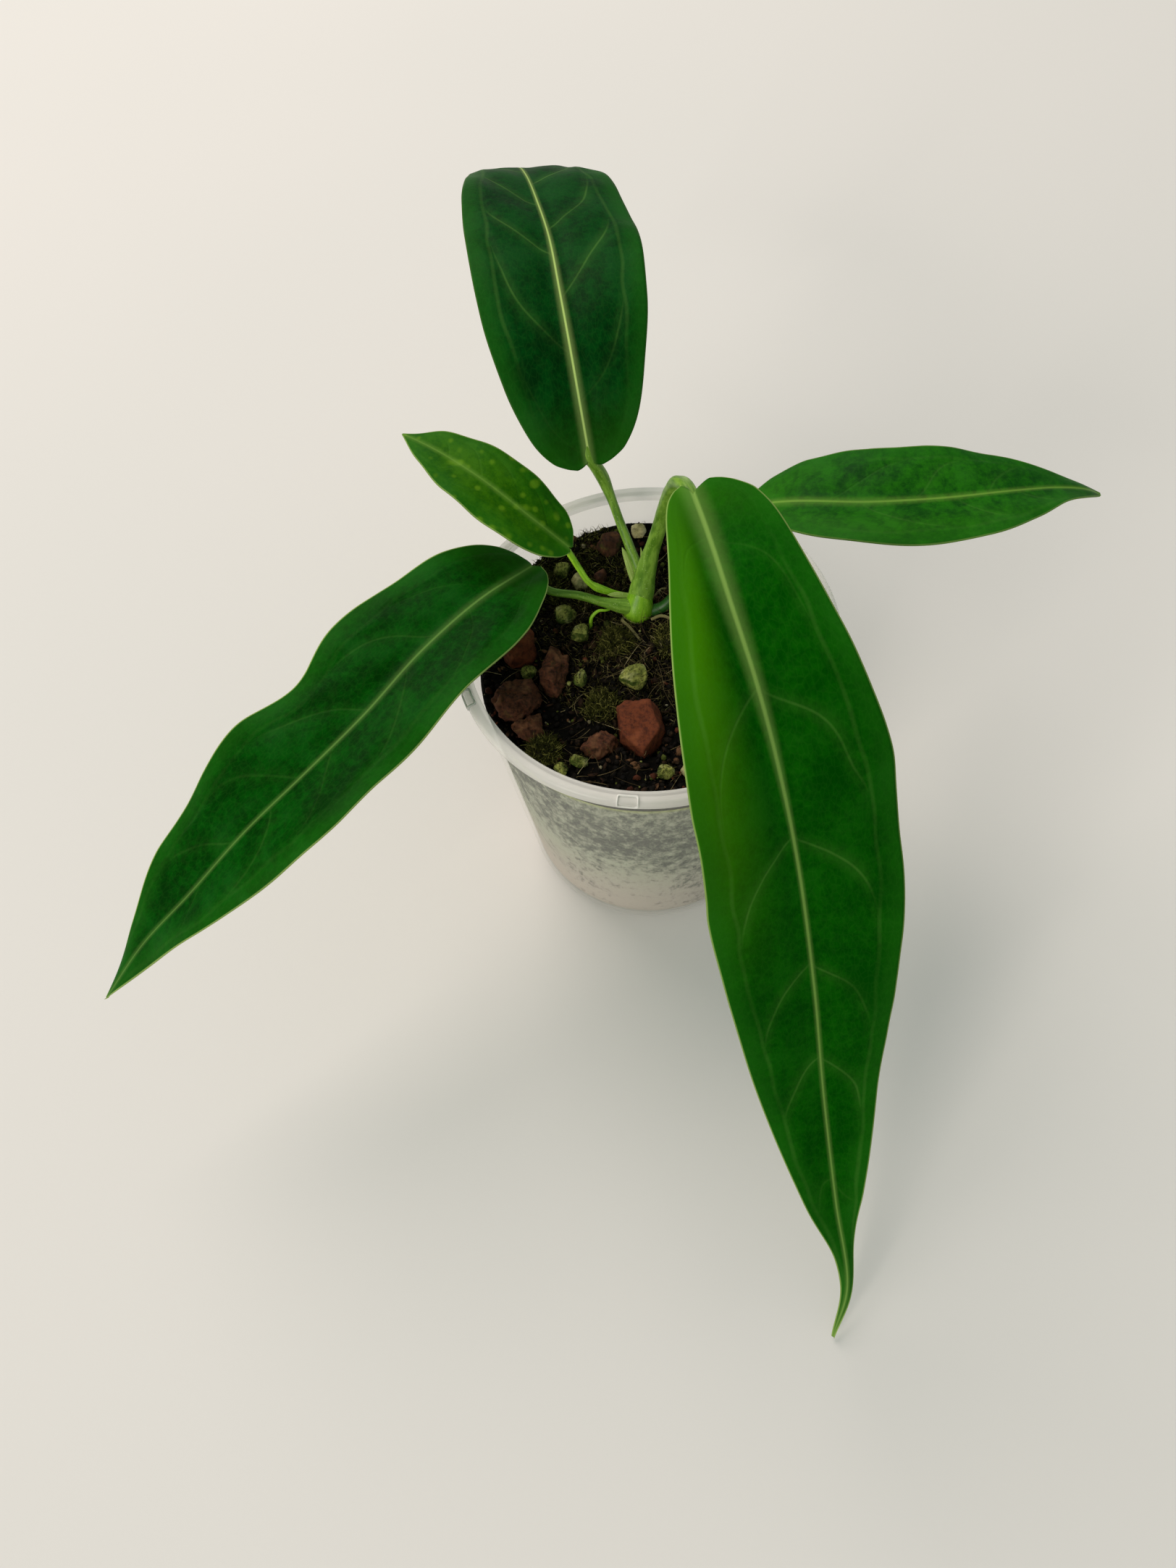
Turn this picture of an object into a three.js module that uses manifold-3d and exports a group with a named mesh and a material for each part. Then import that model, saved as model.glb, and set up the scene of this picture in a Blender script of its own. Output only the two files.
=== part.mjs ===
// A young strap-leaved anthurium in a clear plastic pot.
// Millimetres, +Z up. The origin is the middle of the pot's flat underside, where it stands.
import * as THREE from 'three';
import { mergeVertices } from 'three/addons/utils/BufferGeometryUtils.js';
import Module from 'manifold-3d';

const wasm = await Module();
wasm.setup();

// ---- Pot ----
const POT_HEIGHT = 99;
const RIM_RADIUS = 50;
const RIM_WIDTH = 3.6;
const RIM_SKIRT = 3;
const BASE_RADIUS = 38.6;
const WALL = 0.9;
const FLOOR_THICKNESS = 1.2;
const FOOT_ROUND = 3;
const SKIRT_GAP = 1.8;
const DRAIN_HOLES = 6;
const DRAIN_RADIUS = 1.9;
const DRAIN_RING = 24;

// ---- Potting mix ----
const HEADSPACE = 12.5;
const MIX_BUMPS = 1.1;
const MIX_DOME = 4.2;

// ---- Plant ----
const BLADE = 0.7;
const MARGIN = 0.35;
const RIB = 0.9;
const STALK_SCALE = 1;
const FRONT_STALK_HEIGHT = 68;
const TIP_CLEARANCE = 1.6;

// ---- Fits and mesh fineness ----
const FIT = 0.3;
const POT_SIDES = 48;
const MIX_SIDES = 32;
const MIX_RINGS = 5;
const LEAF_ROWS = 20;
const STALK_SIDES = 8;
const STALK_STEPS = 10;

const mixLevel = POT_HEIGHT - HEADSPACE;
const wallTop = RIM_RADIUS - WALL - SKIRT_GAP;
const colours = {
  pot: 0xe4e6df,
  mix: 0x2e2a1c,
  crown: 0x74a22e,
  stalk: 0x5f9433,
  paleStalk: 0x8bc23a,
  darkStalk: 0x2f6a28,
  darkLeaf: 0x0c4a18,
  midLeaf: 0x2c7a17,
  paleLeaf: 0x3f8a26,
  sheath: 0xa9c76a,
  root: 0x9a9468,
  lava: 0x7a3a26,
  darkLava: 0x4a2a20,
  pumice: 0xb3a874,
  mossyPumice: 0x6f7f3a,
  bark: 0x3a2618,
  moss: 0x4d5a24,
};

const group = new THREE.Group();

// ---------------------------------------------------------------- helpers

// A small repeatable random source, so every build gives the same stones.
function randomFrom(seed) {
  let state = seed;
  return () => {
    state = (state * 16807) % 2147483647;
    return state / 2147483647;
  };
}

// A smooth curve through (t, value) pairs that never overshoots between them.
function profile(pairs, t) {
  let i = 0;
  while (i < pairs.length - 2 && t > pairs[i + 1][0]) i += 1;
  const rise = (k) => (pairs[k + 1][1] - pairs[k][1]) / (pairs[k + 1][0] - pairs[k][0]);
  const slope = (k) => {
    if (k === 0) return rise(0);
    if (k === pairs.length - 1) return rise(k - 1);
    const before = rise(k - 1);
    const after = rise(k);
    return before * after > 0 ? (2 * before * after) / (before + after) : 0;
  };
  const step = pairs[i + 1][0] - pairs[i][0];
  const q = (t - pairs[i][0]) / step;
  const start = pairs[i][1] * (1 + 2 * q) * (1 - q) ** 2 + step * slope(i) * q * (1 - q) ** 2;
  const end = pairs[i + 1][1] * q * q * (3 - 2 * q) - step * slope(i + 1) * q * q * (1 - q);
  return start + end;
}

// Turns a closed geometry into a solid that can be cut.
function toSolid(geometry) {
  const bare = geometry.clone();
  bare.deleteAttribute('normal');
  bare.deleteAttribute('uv');
  const merged = mergeVertices(bare);
  const index = Array.from(merged.index.array);
  const kept = [];
  for (let i = 0; i < index.length; i += 3) {
    const [a, b, c] = index.slice(i, i + 3);
    if (a !== b && b !== c && c !== a) kept.push(a, b, c);
  }
  return new wasm.Manifold(new wasm.Mesh({
    numProp: 3,
    vertProperties: Float32Array.from(merged.attributes.position.array),
    triVerts: Uint32Array.from(kept),
  }));
}

function toGeometry(solid) {
  const mesh = solid.getMesh();
  const geometry = new THREE.BufferGeometry();
  geometry.setAttribute('position', new THREE.BufferAttribute(mesh.vertProperties, 3));
  geometry.setIndex(new THREE.BufferAttribute(mesh.triVerts, 1));
  geometry.computeVertexNormals();
  return geometry;
}

function addPiece(name, solid, color, roughness) {
  const material = new THREE.MeshStandardMaterial({ color, roughness, metalness: 0 });
  const mesh = new THREE.Mesh(toGeometry(solid), material);
  mesh.name = name;
  group.add(mesh);
}

// Skins a row of closed rings. Each ring runs out along one side and back along the other,
// so its two ends close as strips between opposite points.
function loft(rings) {
  const n = rings[0].length;
  const positions = rings.flat().flatMap((p) => [p.x, p.y, p.z]);
  const index = [];
  const quad = (a, b, c, d) => index.push(a, b, c, a, c, d);
  for (let j = 0; j < rings.length - 1; j += 1) {
    for (let i = 0; i < n; i += 1) {
      const next = (i + 1) % n;
      quad(j * n + i, j * n + next, (j + 1) * n + next, (j + 1) * n + i);
    }
  }
  const last = (rings.length - 1) * n;
  for (let i = 0; i < n / 2 - 1; i += 1) {
    quad(n - 1 - i, n - 2 - i, i + 1, i);
    quad(last + i, last + i + 1, last + n - 2 - i, last + n - 1 - i);
  }
  const geometry = new THREE.BufferGeometry();
  geometry.setAttribute('position', new THREE.Float32BufferAttribute(positions, 3));
  geometry.setIndex(index);
  const solid = toSolid(geometry);
  if (solid.volume() > 0) return solid;
  geometry.setIndex(index.reverse());
  return toSolid(geometry);
}

function curveThrough(points, lift = 0) {
  const vectors = points.map(([x, y, z]) => new THREE.Vector3(x, y, z + lift));
  return new THREE.CatmullRomCurve3(vectors, false, 'centripetal');
}

// A round stem along a route, with its radius given along it, grown by extra on every side.
function stem(route, radii, extra = 0, sides = STALK_SIDES, steps = STALK_STEPS) {
  const curve = curveThrough(route, mixLevel);
  const frames = curve.computeFrenetFrames(steps, false);
  const rings = [];
  for (let j = 0; j <= steps; j += 1) {
    const centre = curve.getPointAt(j / steps);
    if (j === 0) centre.addScaledVector(frames.tangents[0], -extra);
    if (j === steps) centre.addScaledVector(frames.tangents[steps], extra);
    const radius = profile(radii, j / steps) * STALK_SCALE + extra;
    const ring = [];
    for (let i = 0; i < sides; i += 1) {
      const angle = (2 * Math.PI * (i + 0.5)) / sides;
      ring.push(centre.clone()
        .addScaledVector(frames.normals[j], radius * Math.cos(angle))
        .addScaledVector(frames.binormals[j], radius * Math.sin(angle)));
    }
    rings.push(ring);
  }
  return loft(rings);
}

function boxesMeet(a, b) {
  const first = a.boundingBox();
  const second = b.boundingBox();
  return [0, 1, 2].every((k) => first.min[k] < second.max[k] && second.min[k] < first.max[k]);
}

// Pieces are cut where they meet what is already there, and keep the fit between them.
const taken = [];
function seat(name, make, color, roughness) {
  let piece = make(0);
  for (const grown of taken.filter((other) => boxesMeet(other, piece))) {
    piece = piece.subtract(grown);
  }
  const bodies = piece.decompose().sort((a, b) => b.volume() - a.volume());
  addPiece(name, bodies[0], color, roughness);
  taken.push(make(FIT));
}

// ---------------------------------------------------------------- pot

// The rim is a flat lip turned down into a skirt that stands off the wall.
function makePot() {
  const lip = new THREE.Path();
  const foot = BASE_RADIUS - FOOT_ROUND;
  lip.moveTo(0, 0);
  lip.lineTo(foot, 0);
  lip.absarc(foot, FOOT_ROUND, FOOT_ROUND, -Math.PI / 2, 0, false);
  lip.lineTo(wallTop, POT_HEIGHT - WALL);
  lip.lineTo(RIM_RADIUS - WALL, POT_HEIGHT - WALL);
  lip.lineTo(RIM_RADIUS - WALL, POT_HEIGHT - RIM_SKIRT);
  lip.lineTo(RIM_RADIUS, POT_HEIGHT - RIM_SKIRT);
  lip.lineTo(RIM_RADIUS, POT_HEIGHT - WALL);
  lip.absarc(RIM_RADIUS - WALL, POT_HEIGHT - WALL, WALL, 0, Math.PI / 2, false);
  lip.lineTo(RIM_RADIUS - RIM_WIDTH, POT_HEIGHT);
  lip.lineTo(wallTop - WALL, POT_HEIGHT - 2 * WALL);
  lip.lineTo(BASE_RADIUS - WALL, FOOT_ROUND);
  lip.absarc(foot, FOOT_ROUND, FOOT_ROUND - WALL, 0, -Math.PI / 2 + 0.15, true);
  lip.lineTo(foot - WALL, FLOOR_THICKNESS);
  lip.lineTo(0, FLOOR_THICKNESS);
  let pot = toSolid(new THREE.LatheGeometry(lip.getPoints(2), POT_SIDES).rotateX(Math.PI / 2));
  for (let i = 0; i < DRAIN_HOLES; i += 1) {
    const angle = (2 * Math.PI * i) / DRAIN_HOLES;
    const drill = new THREE.CylinderGeometry(DRAIN_RADIUS, DRAIN_RADIUS, 4 * FLOOR_THICKNESS, 16);
    drill.rotateX(Math.PI / 2);
    drill.translate(DRAIN_RING * Math.cos(angle), DRAIN_RING * Math.sin(angle), 0);
    pot = pot.subtract(toSolid(drill));
  }
  return pot;
}

// Radius of the pot's inner face at a height above the table.
function innerRadius(z) {
  const share = (z - FOOT_ROUND) / (POT_HEIGHT - 2 * WALL - FOOT_ROUND);
  return BASE_RADIUS - WALL + (wallTop - BASE_RADIUS) * share;
}

addPiece('pot', makePot(), colours.pot, 0.35);

// ---------------------------------------------------------------- plant

// Routes are [x, y, height above the mix]. Radii are [share of the length, radius].
const crownRoute = [[-1.4, 15.4, -5], [-1.2, 15.6, -2], [-0.4, 16.6, 1.5], [0.4, 18, 4.5]];
const crownRadii = [[0, 1.2], [0.3, 2.9], [0.65, 3.3], [1, 2.9]];
const leafTop = BLADE / 2 + RIB + FIT;

const stalks = {
  front: {
    color: colours.stalk,
    route: [[0.5, 18.2, 4.9], [1.9, 20, 11], [3.8, 21, 19], [5.6, 20.3, 28], [6.8, 17.4, 39],
      [7.7, 12.7, 50], [8.3, 5.8, 60], [9.1, -0.8, 65.4],
      [9.8, -6.2, FRONT_STALK_HEIGHT - leafTop - 1.5]],
    radii: [[0, 2.9], [0.1, 2.4], [0.25, 1.9], [0.6, 1.8], [0.85, 1.7], [1, 1.5]],
  },
  back: {
    color: colours.stalk,
    route: [[1, 20.8, 3], [0.8, 24.5, 6.6], [-1.2, 30, 11.5], [-3.4, 35, 17.3], [-5.2, 38.4, 23],
      [-6.8, 40, 28], [-8.6, 40, 32.6], [-9.8, 38.6, 34]],
    radii: [[0, 2], [0.2, 1.4], [0.6, 1.2], [0.84, 1.7], [1, 1.2]],
  },
  left: {
    color: colours.stalk,
    route: [[-3, 16, 3], [-5.5, 16, 4], [-10.5, 16.5, 6], [-16, 17.7, 8], [-23.7, 18.3, 10.6],
      [-26.8, 19.4, 12], [-28.6, 22, 13.4]],
    radii: [[0, 2.3], [0.15, 1.7], [0.35, 1.15], [1, 1.05]],
  },
  small: {
    color: colours.paleStalk,
    route: [[-2.5, 19.4, 2.2], [-7, 19.4, 5.4], [-12.9, 19, 11], [-15.4, 20.8, 15.3], [-17, 22, 18.6],
      [-18.4, 22.8, 20.6]],
    radii: [[0, 1.3], [0.3, 0.9], [0.7, 0.85], [1, 0.75]],
  },
  right: {
    color: colours.darkStalk,
    route: [[2.4, 15.6, 0.4], [6.1, 15.6, 2], [9.4, 16.3, 5.4], [17, 18.3, 14.5], [24.4, 19.6, 24.5],
      [28.8, 19.4, 32]],
    radii: [[0, 1.8], [0.2, 1.4], [0.6, 1.2], [1, 1.1]],
  },
};

seat('crown', (extra) => stem(crownRoute, crownRadii, extra, 12, 8), colours.crown, 0.5);
for (const [place, { route, radii, color }] of Object.entries(stalks)) {
  seat(`stalk_${place}`, (extra) => stem(route, radii, extra), color, 0.5);
}

// The front blade arches over and comes down to the table, however tall the pot is.
const frontTop = mixLevel + FRONT_STALK_HEIGHT;
const drop = (share) => TIP_CLEARANCE + (frontTop - TIP_CLEARANCE) * share - mixLevel;

// Midribs are [x, y, height above the mix]. Half widths are [share of the length, millimetres],
// given for the leaf's own left and right seen from its stalk. Lobe is how far the two ears
// reach back past the stalk, fold and droop shape the section, and wave lifts the margin. Roll
// turns the blade about its midrib, and flatten takes away from its fold.
const leaves = {
  back: {
    color: colours.darkLeaf,
    midrib: [[-10, 40, 35], [-11, 46, 47], [-12, 57, 56], [-13, 72, 61], [-14, 91, 61.8],
      [-16, 111, 59], [-18, 129, 54.4], [-20, 144, 47], [-21.5, 154, 33.4], [-22, 159, 14], [-22, 160, -5]],
    left: [[0, 3.5], [0.006, 6], [0.02, 9.6], [0.06, 14.4], [0.12, 18], [0.22, 20.8], [0.35, 21.8],
      [0.48, 20.2], [0.58, 17], [0.7, 12.8], [0.86, 7], [1, 0.5]],
    right: [[0, 3.5], [0.006, 6], [0.02, 9.6], [0.06, 13.8], [0.12, 17.4], [0.22, 21.4], [0.35, 23],
      [0.5, 23.4], [0.6, 22], [0.7, 17.5], [0.86, 9], [1, 0.5]],
    lobe: 2,
    wave: 0.6,
    roll: [[0, 0], [0.2, 0.02], [0.4, 0.13], [0.55, 0.15], [0.7, 0.15], [1, 0.1]],
    flatten: [[0, 0], [0.3, 0.03], [0.5, 0.1], [0.7, 0.14], [1, 0.14]],
  },
  small: {
    color: colours.paleLeaf,
    midrib: [[-18, 23, 21.5], [-27, 28.5, 28.5], [-37, 37, 33.5], [-48, 47, 35.5], [-58, 56.5, 34.5]],
    left: [[0, 1.2], [0.01, 2.6], [0.04, 5], [0.12, 8], [0.25, 9.8], [0.4, 10.3], [0.6, 9.3], [0.8, 5.8], [1, 0.3]],
    right: [[0, 1.2], [0.01, 2.6], [0.04, 5.2], [0.12, 8.4], [0.25, 9.8], [0.4, 10.3], [0.6, 9.3], [0.8, 6.4], [1, 0.3]],
    lobe: 1,
    wave: 0.3,
  },
  left: {
    color: colours.darkLeaf,
    midrib: [[-28, 23, 15], [-42, 9, 21], [-57, -7, 23.5], [-71, -23, 23], [-86, -35, 19],
      [-102, -45, 12], [-119, -55, 1], [-134, -62, -10], [-147, -70, -22]],
    left: [[0, 2], [0.005, 4], [0.015, 6.4], [0.03, 8.8], [0.06, 12], [0.13, 16.5], [0.22, 17.8], [0.44, 16.4], [0.52, 17.8],
      [0.62, 15.8], [0.75, 11.9], [0.9, 5], [1, 0.4]],
    right: [[0, 3.5], [0.008, 7.4], [0.02, 10.6], [0.06, 15], [0.13, 18.8], [0.3, 21.2], [0.42, 19.2], [0.54, 21.6],
      [0.65, 18.6], [0.76, 15], [0.87, 7], [1, 0.4]],
    lobe: 1.4,
    wave: 1.2,
  },
  front: {
    color: colours.midLeaf,
    midrib: [[9.8, -6.2, drop(1)], [11, -20, drop(1.016)], [13, -36, drop(1.006)], [16.3, -52, drop(0.96)],
      [20, -66, drop(0.863)], [24, -79, drop(0.713)], [27, -95, drop(0.544)], [29, -113, drop(0.368)],
      [31, -134, drop(0.211)], [33, -152, drop(0.081)], [29, -162, drop(0)]],
    left: [[0, 4.6], [0.004, 7], [0.012, 9.6], [0.03, 12.8], [0.1, 17], [0.2, 21], [0.32, 24], [0.42, 23.2], [0.55, 18.4],
      [0.7, 12.2], [0.8, 7.2], [0.89, 2.4], [1, 0.4]],
    right: [[0, 2.2], [0.006, 3.8], [0.03, 6.6], [0.1, 10.5], [0.2, 17], [0.3, 21], [0.4, 22.3], [0.5, 21],
      [0.6, 18.2], [0.7, 14], [0.8, 8.4], [0.89, 2.6], [1, 0.4]],
    lobe: 4,
    wave: 0.8,
  },
  right: {
    color: colours.midLeaf,
    midrib: [[29, 19, 34], [38, 13.5, 40], [54, 6.5, 45], [70, 4.5, 46], [89, 7, 43], [101, 10, 39],
      [110, 12, 35], [116, 14, 30]],
    left: [[0, 4], [0.04, 9], [0.12, 13.4], [0.25, 15.6], [0.4, 15.8], [0.55, 14.4], [0.7, 10.4],
      [0.82, 5.4], [1, 0.3]],
    right: [[0, 2.5], [0.04, 6], [0.12, 9], [0.25, 12.4], [0.4, 14.4], [0.55, 13.4], [0.7, 9],
      [0.82, 5], [1, 0.3]],
    lobe: 1.5,
    wave: 0.4,
  },
};

const FOLD = 0.25;
const DROOP = 0.13;
const LOBE_END = 0.28;
const WAVES = 4;
const across = [-1, -0.7, -0.4, -0.12, 0, 0.12, 0.4, 0.7, 1];

function bladeRing(leaf, curve, t, extra) {
  const centre = curve.getPointAt(t);
  const along = curve.getTangentAt(t);
  const side = new THREE.Vector3(-along.y, along.x, 0).normalize();
  if (leaf.roll) side.applyAxisAngle(along, profile(leaf.roll, t));
  const up = new THREE.Vector3().crossVectors(along, side);
  const back = leaf.lobe * Math.max(0, 1 - t / LOBE_END) ** 2;
  const flatten = leaf.flatten ? profile(leaf.flatten, t) : 0;
  const surface = (u, rise) => {
    const reach = Math.abs(u);
    const halfWidth = profile(u > 0 ? leaf.left : leaf.right, t);
    const wave = leaf.wave * Math.sin(2 * Math.PI * WAVES * t + (u > 0 ? 1 : 0)) * reach * reach;
    const bend = (FOLD - flatten) * reach - DROOP * reach * reach;
    return centre.clone()
      .addScaledVector(side, halfWidth * u)
      .addScaledVector(along, -back * (2 * reach - reach * reach))
      .addScaledVector(up, halfWidth * bend + wave + rise);
  };
  const half = (u) => (MARGIN + (BLADE - MARGIN) * (1 - Math.abs(u))) / 2 + extra;
  const rib = (u) => RIB * Math.max(0, 1 - Math.abs(u) / 0.2) * (1 - t);
  const top = across.map((u) => surface(u, half(u)));
  const under = across.map((u) => surface(u, -half(u) - rib(u)));
  return [...top, ...under.reverse()];
}

// Rows crowd a little towards the base and the tip, where the outline turns fastest.
function blade(leaf, extra) {
  const curve = curveThrough(leaf.midrib, mixLevel);
  const rings = [];
  for (let j = 0; j <= LEAF_ROWS; j += 1) {
    const s = j / LEAF_ROWS;
    rings.push(bladeRing(leaf, curve, 0.4 * s + 0.3 * (1 - Math.cos(Math.PI * s)), extra));
  }
  return loft(rings);
}

for (const [place, leaf] of Object.entries(leaves)) {
  seat(`leaf_${place}`, (extra) => blade(leaf, extra), leaf.color, 0.45);
}

// Thin papery scales, the next bud, and the young shoot and roots at the foot of the plant.
const smallStems = {
  sheath_back: [colours.sheath, [[-1.2, 24.4, 6], [-2, 27, 9], [-3.2, 29.4, 11.8]],
    [[0, 1], [0.6, 0.8], [1, 0.25]]],
  sheath_left: [colours.sheath, [[-3.6, 18.2, 5], [-6, 18.2, 6.3], [-8.6, 18, 7.2]],
    [[0, 0.9], [0.6, 0.7], [1, 0.25]]],
  bud: [colours.sheath, [[2.2, 23.2, 7], [1.9, 25.2, 10.4], [1.6, 26.8, 14]], [[0, 0.8], [1, 0.25]]],
  shoot: [colours.paleStalk, [[-9, 14.6, 3.4], [-11.4, 14.4, 4.6], [-13.4, 13.6, 3.4], [-14, 12.6, -1.5]],
    [[0, 0.35], [0.5, 0.5], [1, 0.55]]],
  root_long: [colours.root, [[-4.8, 14.2, 0.6], [-5.2, 12.6, 1.6], [-3.6, 10.4, 1.5], [-1, 6.4, 0.6]],
    [[0, 0.5], [1, 0.35]]],
  root_right: [colours.root, [[2.6, 12.6, 0.8], [5.4, 12.8, 1.7], [8, 11.4, 1.3], [10, 8, 0]],
    [[0, 0.5], [1, 0.35]]],
  root_back: [colours.root, [[3.6, 19, 0.8], [6.6, 21.6, 1.8], [9.8, 22, 0.8]], [[0, 0.5], [1, 0.35]]],
};
for (const [name, [color, route, radii]] of Object.entries(smallStems)) {
  seat(name, (extra) => stem(route, radii, extra, 8, 8), color, 0.6);
}

// ---------------------------------------------------------------- stones, bark and moss

// [x, y] on the mix, [half length, half width, half height], how far it stands up, its turn,
// and how rough it is. Places are for the standard pot and move with its size.
const STANDARD_RADIUS = 46;
const LUMP_GROWTH = 1.3;
const LUMP_SEED_STEP = 97;
const toppings = {
  lava_front: [colours.lava, [-4, -22.4], [7, 8.6, 5.6], 1.8, 0.1, 0.14],
  lava_left: [colours.darkLava, [-37, -9.4], [6.8, 6.4, 4.8], 1.6, 0.6, 0.16],
  lava_tall: [colours.darkLava, [-25.4, -1.8], [3.7, 9, 4.8], 1.8, -0.2, 0.12],
  lava_hidden: [colours.lava, [-35, 8.6], [5.4, 6.2, 4.4], 1.6, 0.1, 0.16],
  lava_edge: [colours.darkLava, [-34, -17.6], [5, 4.2, 3.4], 0.6, 0.9, 0.16],
  lava_low: [colours.darkLava, [-15.6, -25.4], [5.6, 3.6, 3], 0.2, 0.3, 0.14],
  lava_right: [colours.lava, [22, -4], [5.6, 4.8, 4], 1, 0.7, 0.16],
  pumice_mossy: [colours.mossyPumice, [-4.4, -6.4], [4, 3.6, 3.6], 1.8, 0.2, 0.08],
  pumice_back: [colours.pumice, [2.4, 41], [2.2, 2.2, 3], 2, 0.4, 0.1],
  pumice_grey: [colours.mossyPumice, [-17.6, 11], [2.8, 2.6, 2.2], 0.8, 1.1, 0.1],
  pumice_green: [colours.mossyPumice, [-20.8, 16.6], [3.2, 2.9, 2.8], 1.4, 0.5, 0.1],
  pumice_slit: [colours.mossyPumice, [-32.4, 0], [2.4, 2.2, 1.8], 0.8, 0.2, 0.1],
  pumice_mid: [colours.mossyPumice, [-18.8, -4.8], [1.9, 2.8, 2], 1, -0.3, 0.1],
  pumice_low: [colours.mossyPumice, [-21.4, -29.6], [2.8, 2, 1.8], 0.8, 0.1, 0.1],
  pumice_corner: [colours.mossyPumice, [-26.4, -31.6], [2.2, 2, 1.8], 0.8, 0.5, 0.1],
  pumice_front: [colours.mossyPumice, [0.6, -35.4], [2.4, 2.2, 2], 0.9, 0.3, 0.1],
  pumice_pale: [colours.pumice, [6.4, -35.8], [2.1, 2.2, 2], 1, 0.8, 0.1],
  pumice_gold: [colours.pumice, [-15.8, 27.6], [2.4, 2.8, 2.4], 1.2, 0.2, 0.1],
  pumice_far: [colours.mossyPumice, [-20.6, 32], [2.8, 2.4, 2.2], 1.1, 0.9, 0.1],
  pumice_east: [colours.pumice, [30, 8], [2.8, 2.6, 2.4], 1.2, 0.2, 0.1],
  pumice_south: [colours.mossyPumice, [27, -20], [2.6, 2.4, 2.2], 1.1, 0.6, 0.1],
  bark_dark: [colours.bark, [-6.4, 38.6], [5, 3.4, 3], 1.6, 1.2, 0.1],
  bark_orange: [colours.bark, [-9.8, 28.6], [2.6, 1.8, 1.8], 1, 1.2, 0.1],
  bark_right: [colours.bark, [14, 33], [5.6, 2.4, 2.6], 1.2, -0.5, 0.1],
  bark_front: [colours.bark, [14, -22], [5.2, 2.2, 2.4], 1, 0.8, 0.1],
  moss_front: [colours.moss, [-13.6, -13.6], [4.6, 4, 2.2], 0.4, 0.5, 0.12],
  moss_crown: [colours.moss, [-8, 6.2], [4.8, 4.4, 2.2], 0.4, 0.2, 0.12],
  moss_left: [colours.moss, [-30.4, -25.6], [4.6, 3.6, 3], 0.8, 0.6, 0.12],
  moss_right: [colours.moss, [8.4, 5], [5.6, 4.6, 2.6], 0.6, 0.3, 0.12],
  moss_back: [colours.moss, [-26.4, 27.6], [5.2, 4, 2.6], 0.6, 2.4, 0.12],
};

// A rounded lump: a subdivided ball with its corners pushed in and out at random.
function lump([halfX, halfY, halfZ], roughness, seed, extra) {
  const ball = new THREE.IcosahedronGeometry(1, 1);
  ball.deleteAttribute('normal');
  ball.deleteAttribute('uv');
  const merged = mergeVertices(ball);
  const points = merged.attributes.position;
  const random = randomFrom(seed);
  for (let i = 0; i < points.count; i += 1) {
    const push = 1 + roughness * (2 * random() - 1);
    points.setXYZ(i, points.getX(i) * push, points.getY(i) * push, points.getZ(i) * push);
  }
  return merged.scale(halfX + extra, halfY + extra, halfZ + extra);
}

const surfaceRadius = innerRadius(mixLevel) - FIT;
const spread = surfaceRadius / STANDARD_RADIUS;
let seed = 11;
for (const [name, [color, [x, y], halves, stand, turn, roughness]] of Object.entries(toppings)) {
  seed += LUMP_SEED_STEP;
  const lumpSeed = seed;
  const outer = Math.max(halves[0], halves[1]) * (1 + roughness) + 2 * FIT;
  const distance = Math.hypot(x, y) * spread;
  const pull = Math.min(1, (surfaceRadius - outer) / distance) * spread;
  const height = mixLevel + domeAt(x * pull, y * pull) + stand;
  seat(name, (extra) => {
    const piece = lump(halves, roughness, lumpSeed, extra * LUMP_GROWTH);
    return toSolid(piece.rotateZ(turn).translate(x * pull, y * pull, height));
  }, color, 0.9);
}

// ---------------------------------------------------------------- potting mix

// The mix is heaped up towards the back, and lumpy all over.
function domeAt(x, y) {
  const tilt = MIX_DOME * Math.max(0, y / STANDARD_RADIUS) ** 2;
  const bumps = Math.sin(x * 0.31 + 1) * Math.cos(y * 0.27) + 0.6 * Math.sin(x * 0.7 - y * 0.55);
  return tilt + (MIX_BUMPS * bumps) / 2;
}

function makeMix() {
  const bottom = FLOOR_THICKNESS + FIT;
  const rounding = FOOT_ROUND + WALL;
  const outline = [
    new THREE.Vector2(0, bottom),
    new THREE.Vector2(BASE_RADIUS - rounding - 1, bottom),
    new THREE.Vector2(innerRadius(rounding) - FIT, rounding + 1),
  ];
  const edge = mixLevel - MIX_BUMPS - 1;
  outline.push(new THREE.Vector2(innerRadius(edge) - FIT, edge));
  const sideRings = outline.length;
  for (let ring = MIX_RINGS; ring >= 0; ring -= 1) {
    outline.push(new THREE.Vector2((surfaceRadius * 0.985 * ring) / MIX_RINGS, mixLevel));
  }
  const lathe = new THREE.LatheGeometry(outline, MIX_SIDES).rotateX(Math.PI / 2);
  const points = lathe.attributes.position;
  for (let i = 0; i < points.count; i += 1) {
    if (i % outline.length >= sideRings) {
      points.setZ(i, mixLevel + domeAt(points.getX(i), points.getY(i)));
    }
  }
  return toSolid(lathe);
}

seat('potting_mix', () => makeMix(), colours.mix, 0.95);

export default group;
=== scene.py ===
# %% [markdown]
# # A young anthurium in a frosted pot
# A strap-leaved anthurium seedling grows in a stony mix in a thin plastic cup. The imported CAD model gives
# every place and size. This script keeps those and gives each piece the surface of the real thing: leathery
# blades with pale veins, fleshy stalks, cloudy plastic, porous stones, crumbs, moss and rootlets.

# %% Load the frame
import math
import random
import bmesh
import bpy
import numpy as np
from mathutils import Matrix, Vector, noise
from mathutils.bvhtree import BVHTree


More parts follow.
